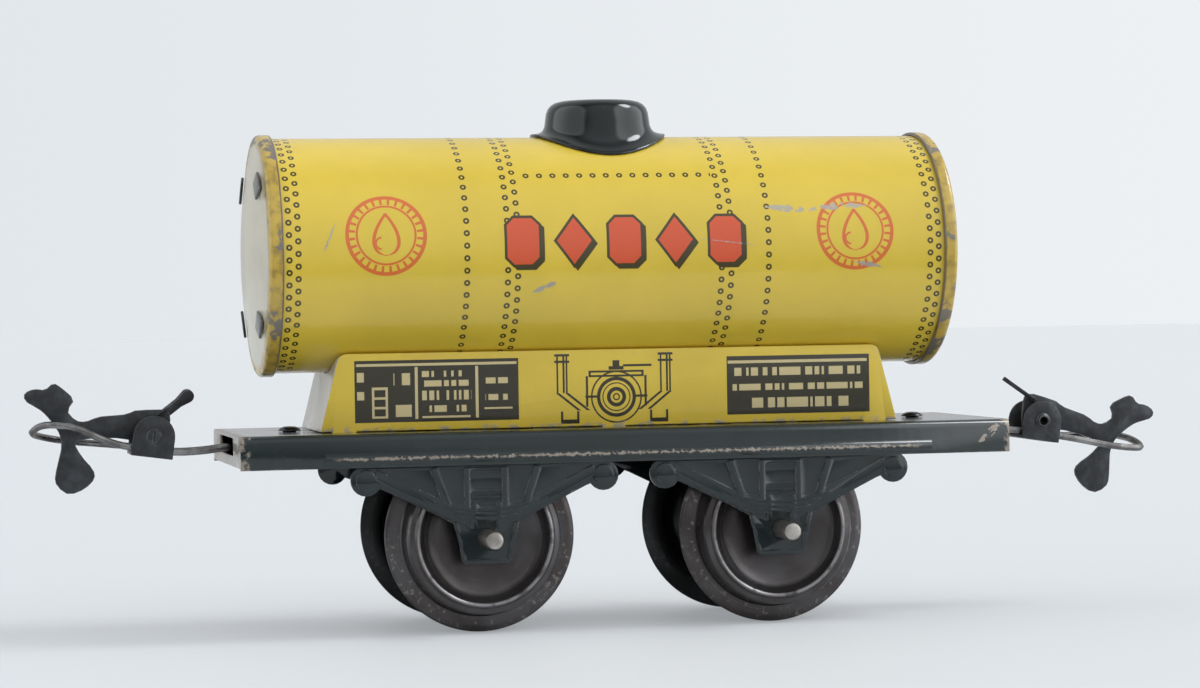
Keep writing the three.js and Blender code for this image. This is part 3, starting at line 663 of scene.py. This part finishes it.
def saddle_finish():
    made, net, shader = new_finish("printed_saddle", roughness=0.3, coat=0.35)
    x, y, z = net.wagon_axes()
    base = net.group(TONE, {"Colour": YELLOW, "Depth": 0.12, "Scale": 0.06})
    side = y.size().above(SADDLE_FACE - 0.12)
    # Painted reflection: the saddle's end faces are painted pale grey for the window glare on them.
    facing = net.node("SeparateXYZ", {0: net.node("NewGeometry").outputs["Normal"]})
    painted_end_glare = net.mix(net.out(facing, "X").size().above(0.6), base.outputs["Colour"], (0.6, 0.57, 0.5, 1))
    dark, light = tables(net, x, z)
    colour = net.mix(dark.most(pump(net, x, z)) * side * 0.97, painted_end_glare, INK_BLACK)
    colour = net.mix(light * side * 0.92, colour, INK_CREAM)
    worn = net.out(net.group(EDGE_WEAR, {"Radius": 0.0005, "Amount": 0.5, "Scale": 0.9}), "Mask")
    specks = net.out(net.group(SPECKS, {"Scale": 0.8, "Amount": 0.6}), "Mask")
    rub = net.smooth(z + net.noise(1.1) * 1.4, 35.6, 34.6)
    bare = worn.most(specks).most(rub * net.smooth(net.noise(0.5), 0.5, 0.56)).least(1)
    colour = net.mix(bare * 0.85, colour, BARE_TIN)
    connect(net, shader, Base_Color=colour, Roughness=bare * 0.2 + 0.27, Metallic=bare * 0.5,
            Normal=net.group(RIPPLE, {"Height": 0.00003, "Scale": 0.09}).outputs["Normal"])
    return made


PRINTED_SADDLE = saddle_finish()
print("saddle printing:", len(PRINTED_SADDLE.node_tree.nodes), "nodes")

# %% [markdown]
# The other finishes. Enamel is a dark colour under a clear gloss that has chipped at folds down to beige
# primer and tin. The wheels are tinned steel gone bronze-brown, polished where they are handled. Wire and
# axles are bare steel, and the couplings are blackened steel, rubbed bright on their edges.


# %% Enamels and metals
def enamel(name, colour, wear_colour, wear, scale, roughness=0.2, coat=0.6, specks=0.5, more=None,
           round_over=0.3, specular=0.5):
    """Dark gloss enamel, thick enough to round over an edge. `more` changes the mask of bare places."""
    made, net, shader = new_finish(name, roughness=roughness, coat=coat, specular=specular)
    tone = net.group(TONE, {"Colour": colour, "Depth": 0.35, "Scale": 0.12})
    bare = net.out(net.group(EDGE_WEAR, {"Radius": 0.0004, "Amount": wear, "Scale": scale}), "Mask")
    bare = bare.most(net.out(net.group(SPECKS, {"Scale": 1.1, "Amount": specks}), "Mask"))
    if more:
        bare = more(net, bare, *net.wagon_axes())
    colour = net.mix(bare.least(1) * 0.8, tone.outputs["Colour"], wear_colour)
    ripple = net.group(RIPPLE, {"Height": 0.00006, "Scale": 0.25})
    soft = net.node("Bevel", {"Radius": round_over * MM, "Normal": ripple.outputs["Normal"]}, samples=8)
    connect(net, shader, Base_Color=colour, Roughness=bare * 0.3 + roughness, Metallic=bare * 0.3,
            Normal=soft.outputs[0])
    return made


CAP_EDGE = TANK_X - cap_high.x / MM
FRAME_HALF = (frame_high.x - frame_low.x) / 2 / MM
SKIRT_FACE = frame_high.y / MM
BEAD_CREST, BEAD_HALF_LENGTH = 29.75, 52.0


DECK_TOP = frame_high.z / MM


def chassis_bare(net, bare, x, y, z):
    """Wear along the swage's crest, the top fold and the tray's ends, and one flake near the right end."""
    skirt = y.size().above(SKIRT_FACE - 0.45)
    line = net.smooth((z - BEAD_CREST).size() + net.noise(2.2, 4.0) * 1.3, 0.92, 0.7)
    fade = net.smooth(x.size() + net.noise(0.2) * 8, BEAD_HALF_LENGTH + 4, BEAD_HALF_LENGTH)
    crest = line * skirt * fade
    fold = net.smooth((z - DECK_TOP + 0.5).size() + net.noise(1.6, 4.0) * 1.5, 1.02, 0.8)
    crest = crest.most(fold * skirt * net.smooth(net.noise(0.16, 3.0), 0.46, 0.54) * 0.8)
    ends = net.smooth(x.size() + net.noise(0.45, 6.0, roughness=0.7) * 9, FRAME_HALF + 3.2, FRAME_HALF + 4.2)
    places = {"X": x, "S": z, "Middle X": 62.6, "Middle S": 31.7, "Slope": 0.75, "Half": 2.3, "Width": 0.9}
    flake = net.out(net.group(STREAK, places), "Mask") * y.below(0)
    away_from_swage = net.smooth((z - BEAD_CREST).size(), 2.2, 2.8).most(x.size().above(BEAD_HALF_LENGTH + 3))
    return (bare * away_from_swage).most(crest).most(ends).most(flake)


def guard_bare(net, bare, _, y, z):
    """The cut edges of the pressing, where the enamel never held."""
    facing = net.node("SeparateXYZ", {0: net.node("NewGeometry").outputs["Normal"]})
    edge = net.smooth(net.out(facing, "Y").size(), 0.6, 0.3)
    low = z.below(28.0) * y.size().below(SKIRT_FACE - 0.72)
    return bare.most(edge * low * net.smooth(net.noise(0.5, 4.0), 0.42, 0.5) * 0.7)


def yellow_cap():
    made, net, shader = new_finish("yellow_cap", roughness=0.3, coat=0.3)
    x, y, z = net.axes()
    lift = z - TANK_HEIGHT
    distance = (y * y + lift * lift).root()
    rim = net.smooth(distance + net.noise(0.25, 4.0) * 1.6, TANK_RADIUS - 0.9, TANK_RADIUS + 0.1)
    face = net.mix(rim, (0.56, 0.52, 0.4, 1), (0.55, 0.38, 0.06, 1))
    base = net.group(TONE, {"Colour": face, "Depth": 0.2, "Scale": 0.08})
    chips = net.smooth(net.noise(0.15, 6.0, roughness=0.6) + rim * 0.22, 0.765, 0.785)
    seam = ((x - TANK_X).size() + net.noise(0.8) * 0.4).below(CAP_EDGE + 0.5)
    worn = net.out(net.group(EDGE_WEAR, {"Radius": 0.0006, "Amount": 0.7, "Scale": 0.6}), "Mask")
    specks = net.out(net.group(SPECKS, {"Scale": 0.7, "Amount": 0.8}), "Mask")
    bare = chips.most(worn).most(specks).least(1)
    grime = net.smooth(net.noise(0.6, 5.0), 0.42, 0.7) * rim
    colour = net.mix((grime * 0.5).most(seam * 0.85), base.outputs["Colour"], (0.1, 0.06, 0.03, 1))
    colour = net.mix(bare * 0.85, colour, (0.17, 0.165, 0.16, 1))
    connect(net, shader, Base_Color=colour, Roughness=bare * 0.2 + 0.28, Metallic=bare * 0.4,
            Normal=net.group(RIPPLE, {"Height": 0.00006, "Scale": 0.1}).outputs["Normal"])
    return made


def metal(name, colour, stain, roughness, depth=0.5, wear=None, scale=0.3, metallic=1.0):
    made, net, shader = new_finish(name, roughness=roughness, metallic=metallic)
    tone = net.group(TONE, {"Colour": colour, "Depth": depth, "Scale": scale})
    cloud = net.out(tone, "Cloud")
    base = net.mix(cloud * 0.5, tone.outputs["Colour"], stain)
    if wear:
        rubbed = net.out(net.group(EDGE_WEAR, {"Radius": 0.0003, "Amount": 0.8, "Scale": 1.2}), "Mask")
        base = net.mix(rubbed * 0.6, base, wear)
    ripple = net.group(RIPPLE, {"Height": 0.00002, "Scale": 0.5, "Grain": 0.000008})
    connect(net, shader, Base_Color=base, Roughness=cloud * 0.18 + roughness, Normal=ripple.outputs["Normal"])
    return made


axle_low, axle_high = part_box("axle_right")
AXLE_X = (axle_low.x + axle_high.x) / 2 / MM - FRAME_MIDDLE
AXLE_HEIGHT = (axle_low.z + axle_high.z) / 2 / MM
RIDGE, FLANGE_STARTS = 11.25, 13.3


def wheel_finish():
    """Turned lines round the axle, a polished ridge, a scratched flange, a dark dish, and painted shade on
    the hollow backs.
    """
    made, net, shader = new_finish("wheel_bronze", roughness=0.3, metallic=0.75)
    x, y, z = net.wagon_axes()
    u = x.size() - AXLE_X
    v = z - AXLE_HEIGHT
    distance = (u * u + v * v).root()
    turning = net.node("CombineXYZ", {0: distance * 2.6, 1: net.math("ARCTAN2", u, v) * 0.35, 2: y * 0.2})
    lines = net.noise(1.6, 5.0, vector=turning.outputs[0], roughness=0.7)
    cloud = net.noise(0.14, 4.0)
    base = net.mix(net.smooth(cloud, 0.35, 0.65), (0.085, 0.08, 0.082, 1), (0.058, 0.05, 0.048, 1))
    dish = net.smooth(distance, RIDGE - 0.8, RIDGE - 6)
    base = net.mix(dish * 0.45, base, (0.035, 0.031, 0.033, 1))
    # The hollow backs, turned to the wagon's middle, are painted near-black: painted shade for the shadow
    # they sit in between the wheels.
    facing = net.node("SeparateXYZ", {0: net.node("NewGeometry").outputs["Normal"]})
    back = (net.out(facing, "Y") * y).below(-0.3)
    base = net.mix(net.smooth(lines, 0.55, 0.75) * 0.35, base, (0.24, 0.22, 0.21, 1))
    ridge = net.smooth((distance - RIDGE).size(), 0.42, 0.08) * net.smooth(net.noise(0.35, 4.0), 0.32, 0.5)
    base = net.mix(ridge * 0.7, base, (0.36, 0.34, 0.35, 1))
    rim = distance.above(FLANGE_STARTS + 0.4) * net.smooth(net.noise(1.3, 5.0), 0.58, 0.66)
    base = net.mix(rim * 0.5, base, (0.3, 0.27, 0.26, 1))
    # Painted shade: the backs turned to the wagon's middle are darkened to near-black.
    base = net.mix(back * 0.75, base, (0.008, 0.012, 0.012, 1))
    bump = net.node("Bump", {"Height": lines * 0.00002, "Distance": 1.0})
    connect(net, shader, Base_Color=base, Roughness=lines * 0.2 + 0.14, Normal=bump.outputs[0])
    return made


GREEN = (0.012, 0.021, 0.022, 1)
PRIMER = (0.34, 0.29, 0.24, 1)
CHASSIS_GREEN = enamel("chassis_green", GREEN, PRIMER, 0.62, 0.9, roughness=0.14, coat=0.4, specular=0.4,
                       more=chassis_bare)
GUARD_GREEN = enamel("guard_green", (0.009, 0.017, 0.019, 1), (0.3, 0.29, 0.28, 1), 0.25, 1.4, roughness=0.09,
                     coat=0.4, specular=0.35, more=guard_bare, round_over=0.35)
DOME_BLACK = enamel("dome_black", (0.005, 0.009, 0.01, 1), (0.09, 0.062, 0.05, 1), 0.7, 0.5, roughness=0.1,
                    coat=0.2, specks=0.8, specular=0.4)
# Painted shade: the far tabs get this near-black enamel to stand for the shade they lie in; the near tabs are
# the same tin.
FAR_TAB_PAINTED_SHADE = enamel("far_tab_painted_shade", (0.012, 0.013, 0.014, 1), (0.1, 0.1, 0.1, 1), 0.4, 1.0)
TAB_WORN = enamel("tab_worn", (0.2, 0.195, 0.185, 1), (0.35, 0.35, 0.36, 1), 0.6, 0.8, roughness=0.35,
                  coat=0.1)
YELLOW_CAP = yellow_cap()
WHEEL_BRONZE = wheel_finish()
BRIGHT_STEEL = metal("bright_steel", (0.48, 0.46, 0.43, 1), (0.2, 0.17, 0.14, 1), 0.3)
LINK_STEEL = metal("link_steel", (0.3, 0.295, 0.29, 1), (0.1, 0.09, 0.09, 1), 0.2, wear=(0.5, 0.48, 0.46, 1))
BLACK_STEEL = metal("blackened_steel", (0.06, 0.067, 0.072, 1), (0.05, 0.044, 0.045, 1), 0.33,
                    wear=(0.3, 0.3, 0.3, 1), metallic=0.75, scale=0.5)
print("finishes:", sorted(m.name for m in bpy.data.materials))

# %% [markdown]
# Pieces are modelled about the wagon's own axes. Two ways of working repeat: a turned piece is a profile
# spun round an axis, and a folded or pressed piece is a copy of the frame's exact shape whose sharp edges
# are rounded, because tinplate never has a knife edge and the rounding is what catches the light.


# %% Working in edit mode
def alone(piece):
    """Selects one piece and nothing else."""
    if bpy.context.object and bpy.context.object.mode != "OBJECT":
        bpy.ops.object.mode_set(mode="OBJECT")
    bpy.ops.object.select_all(action="DESELECT")
    bpy.context.view_layer.objects.active = piece
    piece.select_set(True)


def apply_modifiers(piece):
    alone(piece)
    for modifier in list(piece.modifiers):
        bpy.ops.object.modifier_apply(modifier=modifier.name)


def settle(piece, name, body, finish_material, slot, *stands_for, smooth=35):
    """Puts a finished piece at the origin, gives it its finish, and lets it ride on its body."""
    alone(piece)
    bpy.ops.object.transform_apply(location=True, rotation=True, scale=True)
    bpy.ops.object.shade_smooth_by_angle(angle=math.radians(smooth))
    piece.name = name
    piece.data.name = name
    piece.data.materials.clear()
    piece.data.materials.append(finish_material)
    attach(piece, body)
    if stands_for:
        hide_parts(*stands_for)
    return piece


AXES = {"x": (1, 0, 0), "y": (0, 1, 0), "z": (0, 0, 1)}


def spun(profile, axis, centre, steps=96):
    """Extrudes one point along a profile of (radius, height) and spins it about an axis, in millimetres."""
    forward_axis = Vector(AXES[axis])
    outward = Vector((0, 0, 1)) if axis != "z" else Vector((1, 0, 0))
    points = [Vector(centre) + outward * r + forward_axis * h for r, h in profile]
    bpy.ops.object.select_all(action="DESELECT")
    bpy.ops.mesh.primitive_plane_add(size=1)
    piece = bpy.context.object
    bpy.ops.object.mode_set(mode="EDIT")
    bpy.ops.mesh.select_all(action="SELECT")
    bpy.ops.mesh.merge(type="CENTER")
    bpy.ops.transform.translate(value=points[0] * MM)
    for before, after in zip(points, points[1:]):
        bpy.ops.mesh.extrude_region_move(TRANSFORM_OT_translate={"value": (after - before) * MM})
    bpy.ops.mesh.select_all(action="SELECT")
    bpy.ops.mesh.spin(steps=steps, angle=2 * math.pi, center=Vector(centre) * MM, axis=forward_axis)
    bpy.ops.mesh.select_all(action="SELECT")
    bpy.ops.mesh.remove_doubles(threshold=0.002 * MM)
    bpy.ops.mesh.normals_make_consistent(inside=False)
    bpy.ops.object.mode_set(mode="OBJECT")
    return piece


def softened(node, width, segments=2, angle=28):
    """A copy of a CAD node, merged and with its sharp edges rounded."""
    alone(nodes[node])
    bpy.ops.object.duplicate()
    piece = bpy.context.object
    piece.parent = None
    for key in list(piece.keys()):
        del piece[key]
    bpy.ops.object.mode_set(mode="EDIT")
    bpy.ops.mesh.select_all(action="SELECT")
    bpy.ops.mesh.remove_doubles(threshold=0.002 * MM)
    bpy.ops.mesh.dissolve_limited(angle_limit=math.radians(1))
    bpy.ops.object.mode_set(mode="OBJECT")
    bevel = piece.modifiers.new("rounded_edges", "BEVEL")
    bevel.width = width * MM
    bevel.segments = segments
    bevel.limit_method = "ANGLE"
    bevel.angle_limit = math.radians(angle)
    bevel.miter_outer = "MITER_ARC"
    apply_modifiers(piece)
    return piece


def middle_of(node):
    low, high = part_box(node)
    return (low + high) / 2 / MM


# %% [markdown]
# The chassis, its four axle guards and the saddle are folded and pressed tinplate, so they keep the frame's
# exact outlines and get rounded folds.

# %% Chassis, guards and saddle
settle(softened("chassis_frame", 0.16), "chassis_tray", "wagon_body", CHASSIS_GREEN, "frame_green",
       "chassis_frame")
for side in ("near", "far"):
    for end in ("left", "right"):
        node = f"axle_guard_{side}_{end}"
        settle(softened(node, 0.17), f"pressed_guard_{side}_{end}", "wagon_body", GUARD_GREEN, "frame_green",
               node)
settle(softened("tank_saddle", 0.3, 3), "printed_saddle_sheet", "wagon_body", PRINTED_SADDLE, "tank_yellow",
       "tank_saddle")
print("folded sheet pieces done")

# %% [markdown]
# The tank is a rolled tube. Its two caps are pressed cups with a rolled rim and a gently domed face, and
# four tabs of the tube come through each face and are bent over.

# %% Tank, caps and tabs
SHEET = 0.5
TUBE_IN_CAP = 2.1  # how far the tube runs into each cap
TUBE_HALF = TANK_X - cap_high.x / MM + TUBE_IN_CAP


def tank_tube():
    half = TUBE_HALF
    profile = [
        (TANK_RADIUS - SHEET, -half),
        (TANK_RADIUS, -half),
        (TANK_RADIUS, -half * 0.5),
        (TANK_RADIUS, 0),
        (TANK_RADIUS, half * 0.5),
        (TANK_RADIUS, half),
        (TANK_RADIUS - SHEET, half),
        (TANK_RADIUS - SHEET, -half),
    ]
    return spun(profile, "x", (TANK_X, 0, TANK_HEIGHT), 160)


def cap_piece(end):
    """A cap seen from its own end: the rim rolled, the face domed."""
    inner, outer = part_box(f"end_cap_{end}")
    radius = (outer.y - inner.y) / 2 / MM
    sign = 1 if end == "right" else -1
    rim = (inner.x if sign > 0 else outer.x) / MM
    crown = (outer.x if sign > 0 else inner.x) / MM
    depth = abs(crown - rim)
    bulge = depth - 2.45
    profile = [(radius - SHEET, 0.0), (radius - 0.1, 0.0), (radius + 0.0, 0.12), (radius, 0.5), (radius, 1.6)]
    for k in range(1, 6):
        turn_by = math.radians(90 * k / 5)
        profile.append((radius - 0.8 * (1 - math.cos(turn_by)), 1.6 + 0.8 * math.sin(turn_by)))
    profile.append((radius - 1.15, 2.3))
    for k in range(1, 11):
        share = 1 - k / 10
        profile.append(((radius - 1.5) * share, 2.3 + 0.1 + bulge * (1 - share**2)))
    profile += [(0, depth - 0.6), (radius - SHEET, 1.6), (radius - SHEET, 0.0)]
    profile = [(r, sign * h) for r, h in profile]
    return spun(profile, "x", (rim, 0, TANK_HEIGHT), 160)


TAB_LEAN = 9  # degrees; each tab lies on the face's slope
TAB_SIZE = (0.5, 4, 2.8)
TAB_EDGE = 0.18
TAB_RING = 16.3  # from the tank's axis to a tab's middle
TAB_SINK = 0.45  # from the tank's tip back to a tab's middle
TAB_ANGLES = (45, 135, 225, 315)
NEAR_TABS = (1, 2)  # rubbed bare; the other two, of the same tin, are painted black as painted shade


def tab_piece(end, angle):
    """One tank tab, bent over the cap's face."""
    sign = 1 if end == "right" else -1
    tip = (tank_high.x if sign > 0 else tank_low.x) / MM
    bpy.ops.object.select_all(action="DESELECT")
    bpy.ops.mesh.primitive_cube_add(size=1, location=(0, 0, 0))
    piece = bpy.context.object
    piece.scale = Vector(TAB_SIZE) * MM
    bpy.ops.object.transform_apply(location=True, rotation=True, scale=True)
    bevel = piece.modifiers.new("round", "BEVEL")
    bevel.width = TAB_EDGE * MM
    bevel.segments = 2
    apply_modifiers(piece)
    lean = Matrix.Rotation(math.radians(-sign * TAB_LEAN), 4, "Y")
    place = Matrix.Translation(Vector((tip - sign * TAB_SINK, 0, TAB_RING)) * MM)
    round_axis = Matrix.Rotation(math.radians(angle), 4, "X")
    piece.matrix_world = Matrix.Translation((0, 0, TANK_HEIGHT * MM)) @ round_axis @ place @ lean
    return piece


settle(tank_tube(), "rolled_tank", "wagon_body", PRINTED_TANK, "tank_yellow", "tank_barrel")
for end in ("left", "right"):
    settle(cap_piece(end), f"domed_cap_{end}", "wagon_body", YELLOW_CAP, "tank_yellow", f"end_cap_{end}")
    for number, angle in enumerate(TAB_ANGLES, 1):
        # Painted shade: the far tabs get the black finish, the near ones the rubbed tin.
        worn_or_shaded_tab = TAB_WORN if number in NEAR_TABS else FAR_TAB_PAINTED_SHADE
        settle(tab_piece(end, angle), f"tank_tab_{end}_{number}", "wagon_body", worn_or_shaded_tab, "frame_green")
print("tank done")

# %% [markdown]
# The dome is one pressing: a cup with a soft shoulder whose brim flares out and follows the tank. It is
# spun flat, then each point is let down by as much as the tank falls away below it, fully at the brim and
# less above.

# %% Filler dome
dome_low, dome_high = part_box("filler_dome")
DOME = middle_of("filler_dome")
DOME_TOP = dome_high.z / MM


def dome_piece():
    crown = TANK_HEIGHT + TANK_RADIUS
    rise = DOME_TOP - crown
    brim = (dome_high.x - dome_low.x) / 2 / MM
    profile = [(0, rise), (4, rise - 0.03), (6.3, rise - 0.12), (7.3, rise - 0.35), (8.05, rise - 0.8)]
    profile += [(8.55, rise - 1.4), (8.85, rise - 2.2), (9.0, rise - 3.2), (9.15, rise - 4.3), (9.4, 1.45)]
    profile += [(9.8, 0.98), (10.5, 0.72), (11.2, 0.61)]
    profile += [(brim - 0.05, 0.56), (brim, 0.35), (brim - 0.1, 0.14)]
    profile += [(9.9, 0.16), (9.0, 0.8), (8.45, rise - 3.2), (7.6, rise - 1.4)]
    profile += [(5.6, rise - 0.66), (0, rise - 0.5)]
    piece = spun(profile, "z", (DOME.x, 0, crown), 128)
    for vertex in piece.data.vertices:
        across = vertex.co.y / MM
        height = vertex.co.z / MM - crown
        drop = TANK_RADIUS - math.sqrt(TANK_RADIUS**2 - across**2)
        share = 1 - min(max((height - 0.6) / (rise - 1.6), 0), 1)
        vertex.co.z -= drop * share**1.3 * MM
    return piece


settle(dome_piece(), "pressed_dome", "wagon_body", DOME_BLACK, "dome_black", "filler_dome", smooth=50)
print("dome done")

# %% [markdown]
# Each wheel is one pressing from sheet: flange, tapering tread, a rolled ridge on the front edge, and a
# dished face with a hub. The axle is a plain rod whose ends stand out of the guards.


# %% Wheels and axles
FLANGE_DEPTH = 2.85


def wheel_piece(side, end):
    """One wheel. Its outline runs from the flange over the tread, ridge and dish to the hub, and back inside.

    Each point is (radius, height above the flange's back); radii are measured from the tread's or given.
    """
    low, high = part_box(f"wheel_{side}_{end}")
    centre = middle_of(f"wheel_{side}_{end}")
    sign = 1 if side == "far" else -1
    back = (low.y if sign > 0 else high.y) / MM
    flange = (high.z - low.z) / 2 / MM
    tread = flange - FLANGE_DEPTH
    hub = (axle_high.z - axle_low.z) / 2 / MM + 0.06
    profile = [
        # the flange
        (tread - 0.5, 0.0), (flange - 0.25, 0.0), (flange - 0.07, 0.1), (flange, 0.3), (flange - 0.07, 0.5),
        (flange - 0.25, 0.62), (flange - 1.2, 0.72), (tread + 0.25, 0.82), (tread + 0.06, 1.0),
        # the tread
        (tread, 1.25), (tread - 0.2, 3.2), (tread - 0.4, 4.95), (tread - 0.62, 5.2), (tread - 1.1, 5.3),
        # the ridge
        (tread - 1.4, 5.45), (tread - 1.55, 5.75), (tread - 1.75, 5.94), (tread - 2.0, 6.0),
        (tread - 2.25, 5.9), (tread - 2.45, 5.6),
        # the dish and the hub
        (tread - 2.8, 4.95), (tread - 3.3, 4.35), (tread - 4.2, 3.9), (tread - 5.6, 3.65), (4.6, 3.45),
        (3.2, 3.42), (2.75, 3.5), (2.6, 3.75), (2.5, 3.95), (2.3, 4.05), (hub, 4.05),
        # the inside, back to the flange
        (hub, 2.9), (4.6, 2.95), (tread - 5.6, 3.1), (tread - 3.9, 3.5), (tread - 2.9, 4.3),
        (tread - 2.0, 5.4), (tread - 1.2, 4.8), (tread - 0.5, 0.0),
    ]
    profile = [(r, sign * h) for r, h in profile]
    return spun(profile, "y", (centre.x, back, centre.z), 128)


def axle_piece(end):
    low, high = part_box(f"axle_{end}")
    centre = middle_of(f"axle_{end}")
    radius = (high.z - low.z) / 2 / MM
    half = (high.y - low.y) / 2 / MM
    profile = [(0, -half + 0.05), (radius - 0.5, -half), (radius - 0.15, -half + 0.12), (radius, -half + 0.4)]
    profile += [(r, -h) for r, h in reversed(profile)]
    return spun(profile, "y", (centre.x, 0, centre.z), 48)


for end in ("left", "right"):
    settle(axle_piece(end), f"axle_rod_{end}", f"wheelset_{end}", BRIGHT_STEEL, "bright_steel", f"axle_{end}")
    for side in ("near", "far"):
        node = f"wheel_{side}_{end}"
        settle(wheel_piece(side, end), f"pressed_{node}", f"wheelset_{end}", WHEEL_BRONZE, "wheel_bronze",
               node)
print("wheelsets done")

# %% [markdown]
# The couplings: a bent wire link, a U bracket, a weighted hook lever and the rivet that it turns on. They
# are small, so every edge shows; they keep the frame's outlines, with rubbed round edges.

# %% Couplings
def rounded_wire(node):
    """The link wire subdivided until its section is round, then swelled back to its gauge."""
    piece = softened(node, 0.12, 1)
    surface = piece.modifiers.new("round_section", "SUBSURF")
    surface.levels = 2
    apply_modifiers(piece)
    bpy.ops.object.mode_set(mode="EDIT")
    bpy.ops.mesh.select_all(action="SELECT")
    bpy.ops.transform.shrink_fatten(value=0.04 * MM)
    bpy.ops.object.mode_set(mode="OBJECT")
    return piece


for end in ("left", "right"):
    body = f"coupling_{end}"
    bracket = f"coupling_bracket_{end}"
    settle(softened(bracket, 0.12), f"u_bracket_{end}", body, BLACK_STEEL, "blackened_steel", bracket)
    rivet = f"hook_rivet_{end}"
    settle(softened(rivet, 0.08, angle=50), f"rivet_{end}", body, BLACK_STEEL, "blackened_steel", rivet)
    settle(softened(f"hook_lever_{end}", 0.14, angle=50), f"hook_blade_{end}", f"hook_{end}", BLACK_STEEL,
           "blackened_steel", f"hook_lever_{end}", smooth=50)
    settle(rounded_wire(f"link_wire_{end}"), f"bent_link_{end}", body, LINK_STEEL, "bright_steel",
           f"link_wire_{end}", smooth=80)
    settle(softened(f"swing_pivot_{end}", 0.15, angle=60), f"deck_rivet_{end}", "wagon_body", DOME_BLACK,
           "dome_black", f"swing_pivot_{end}", smooth=60)
print("couplings done")
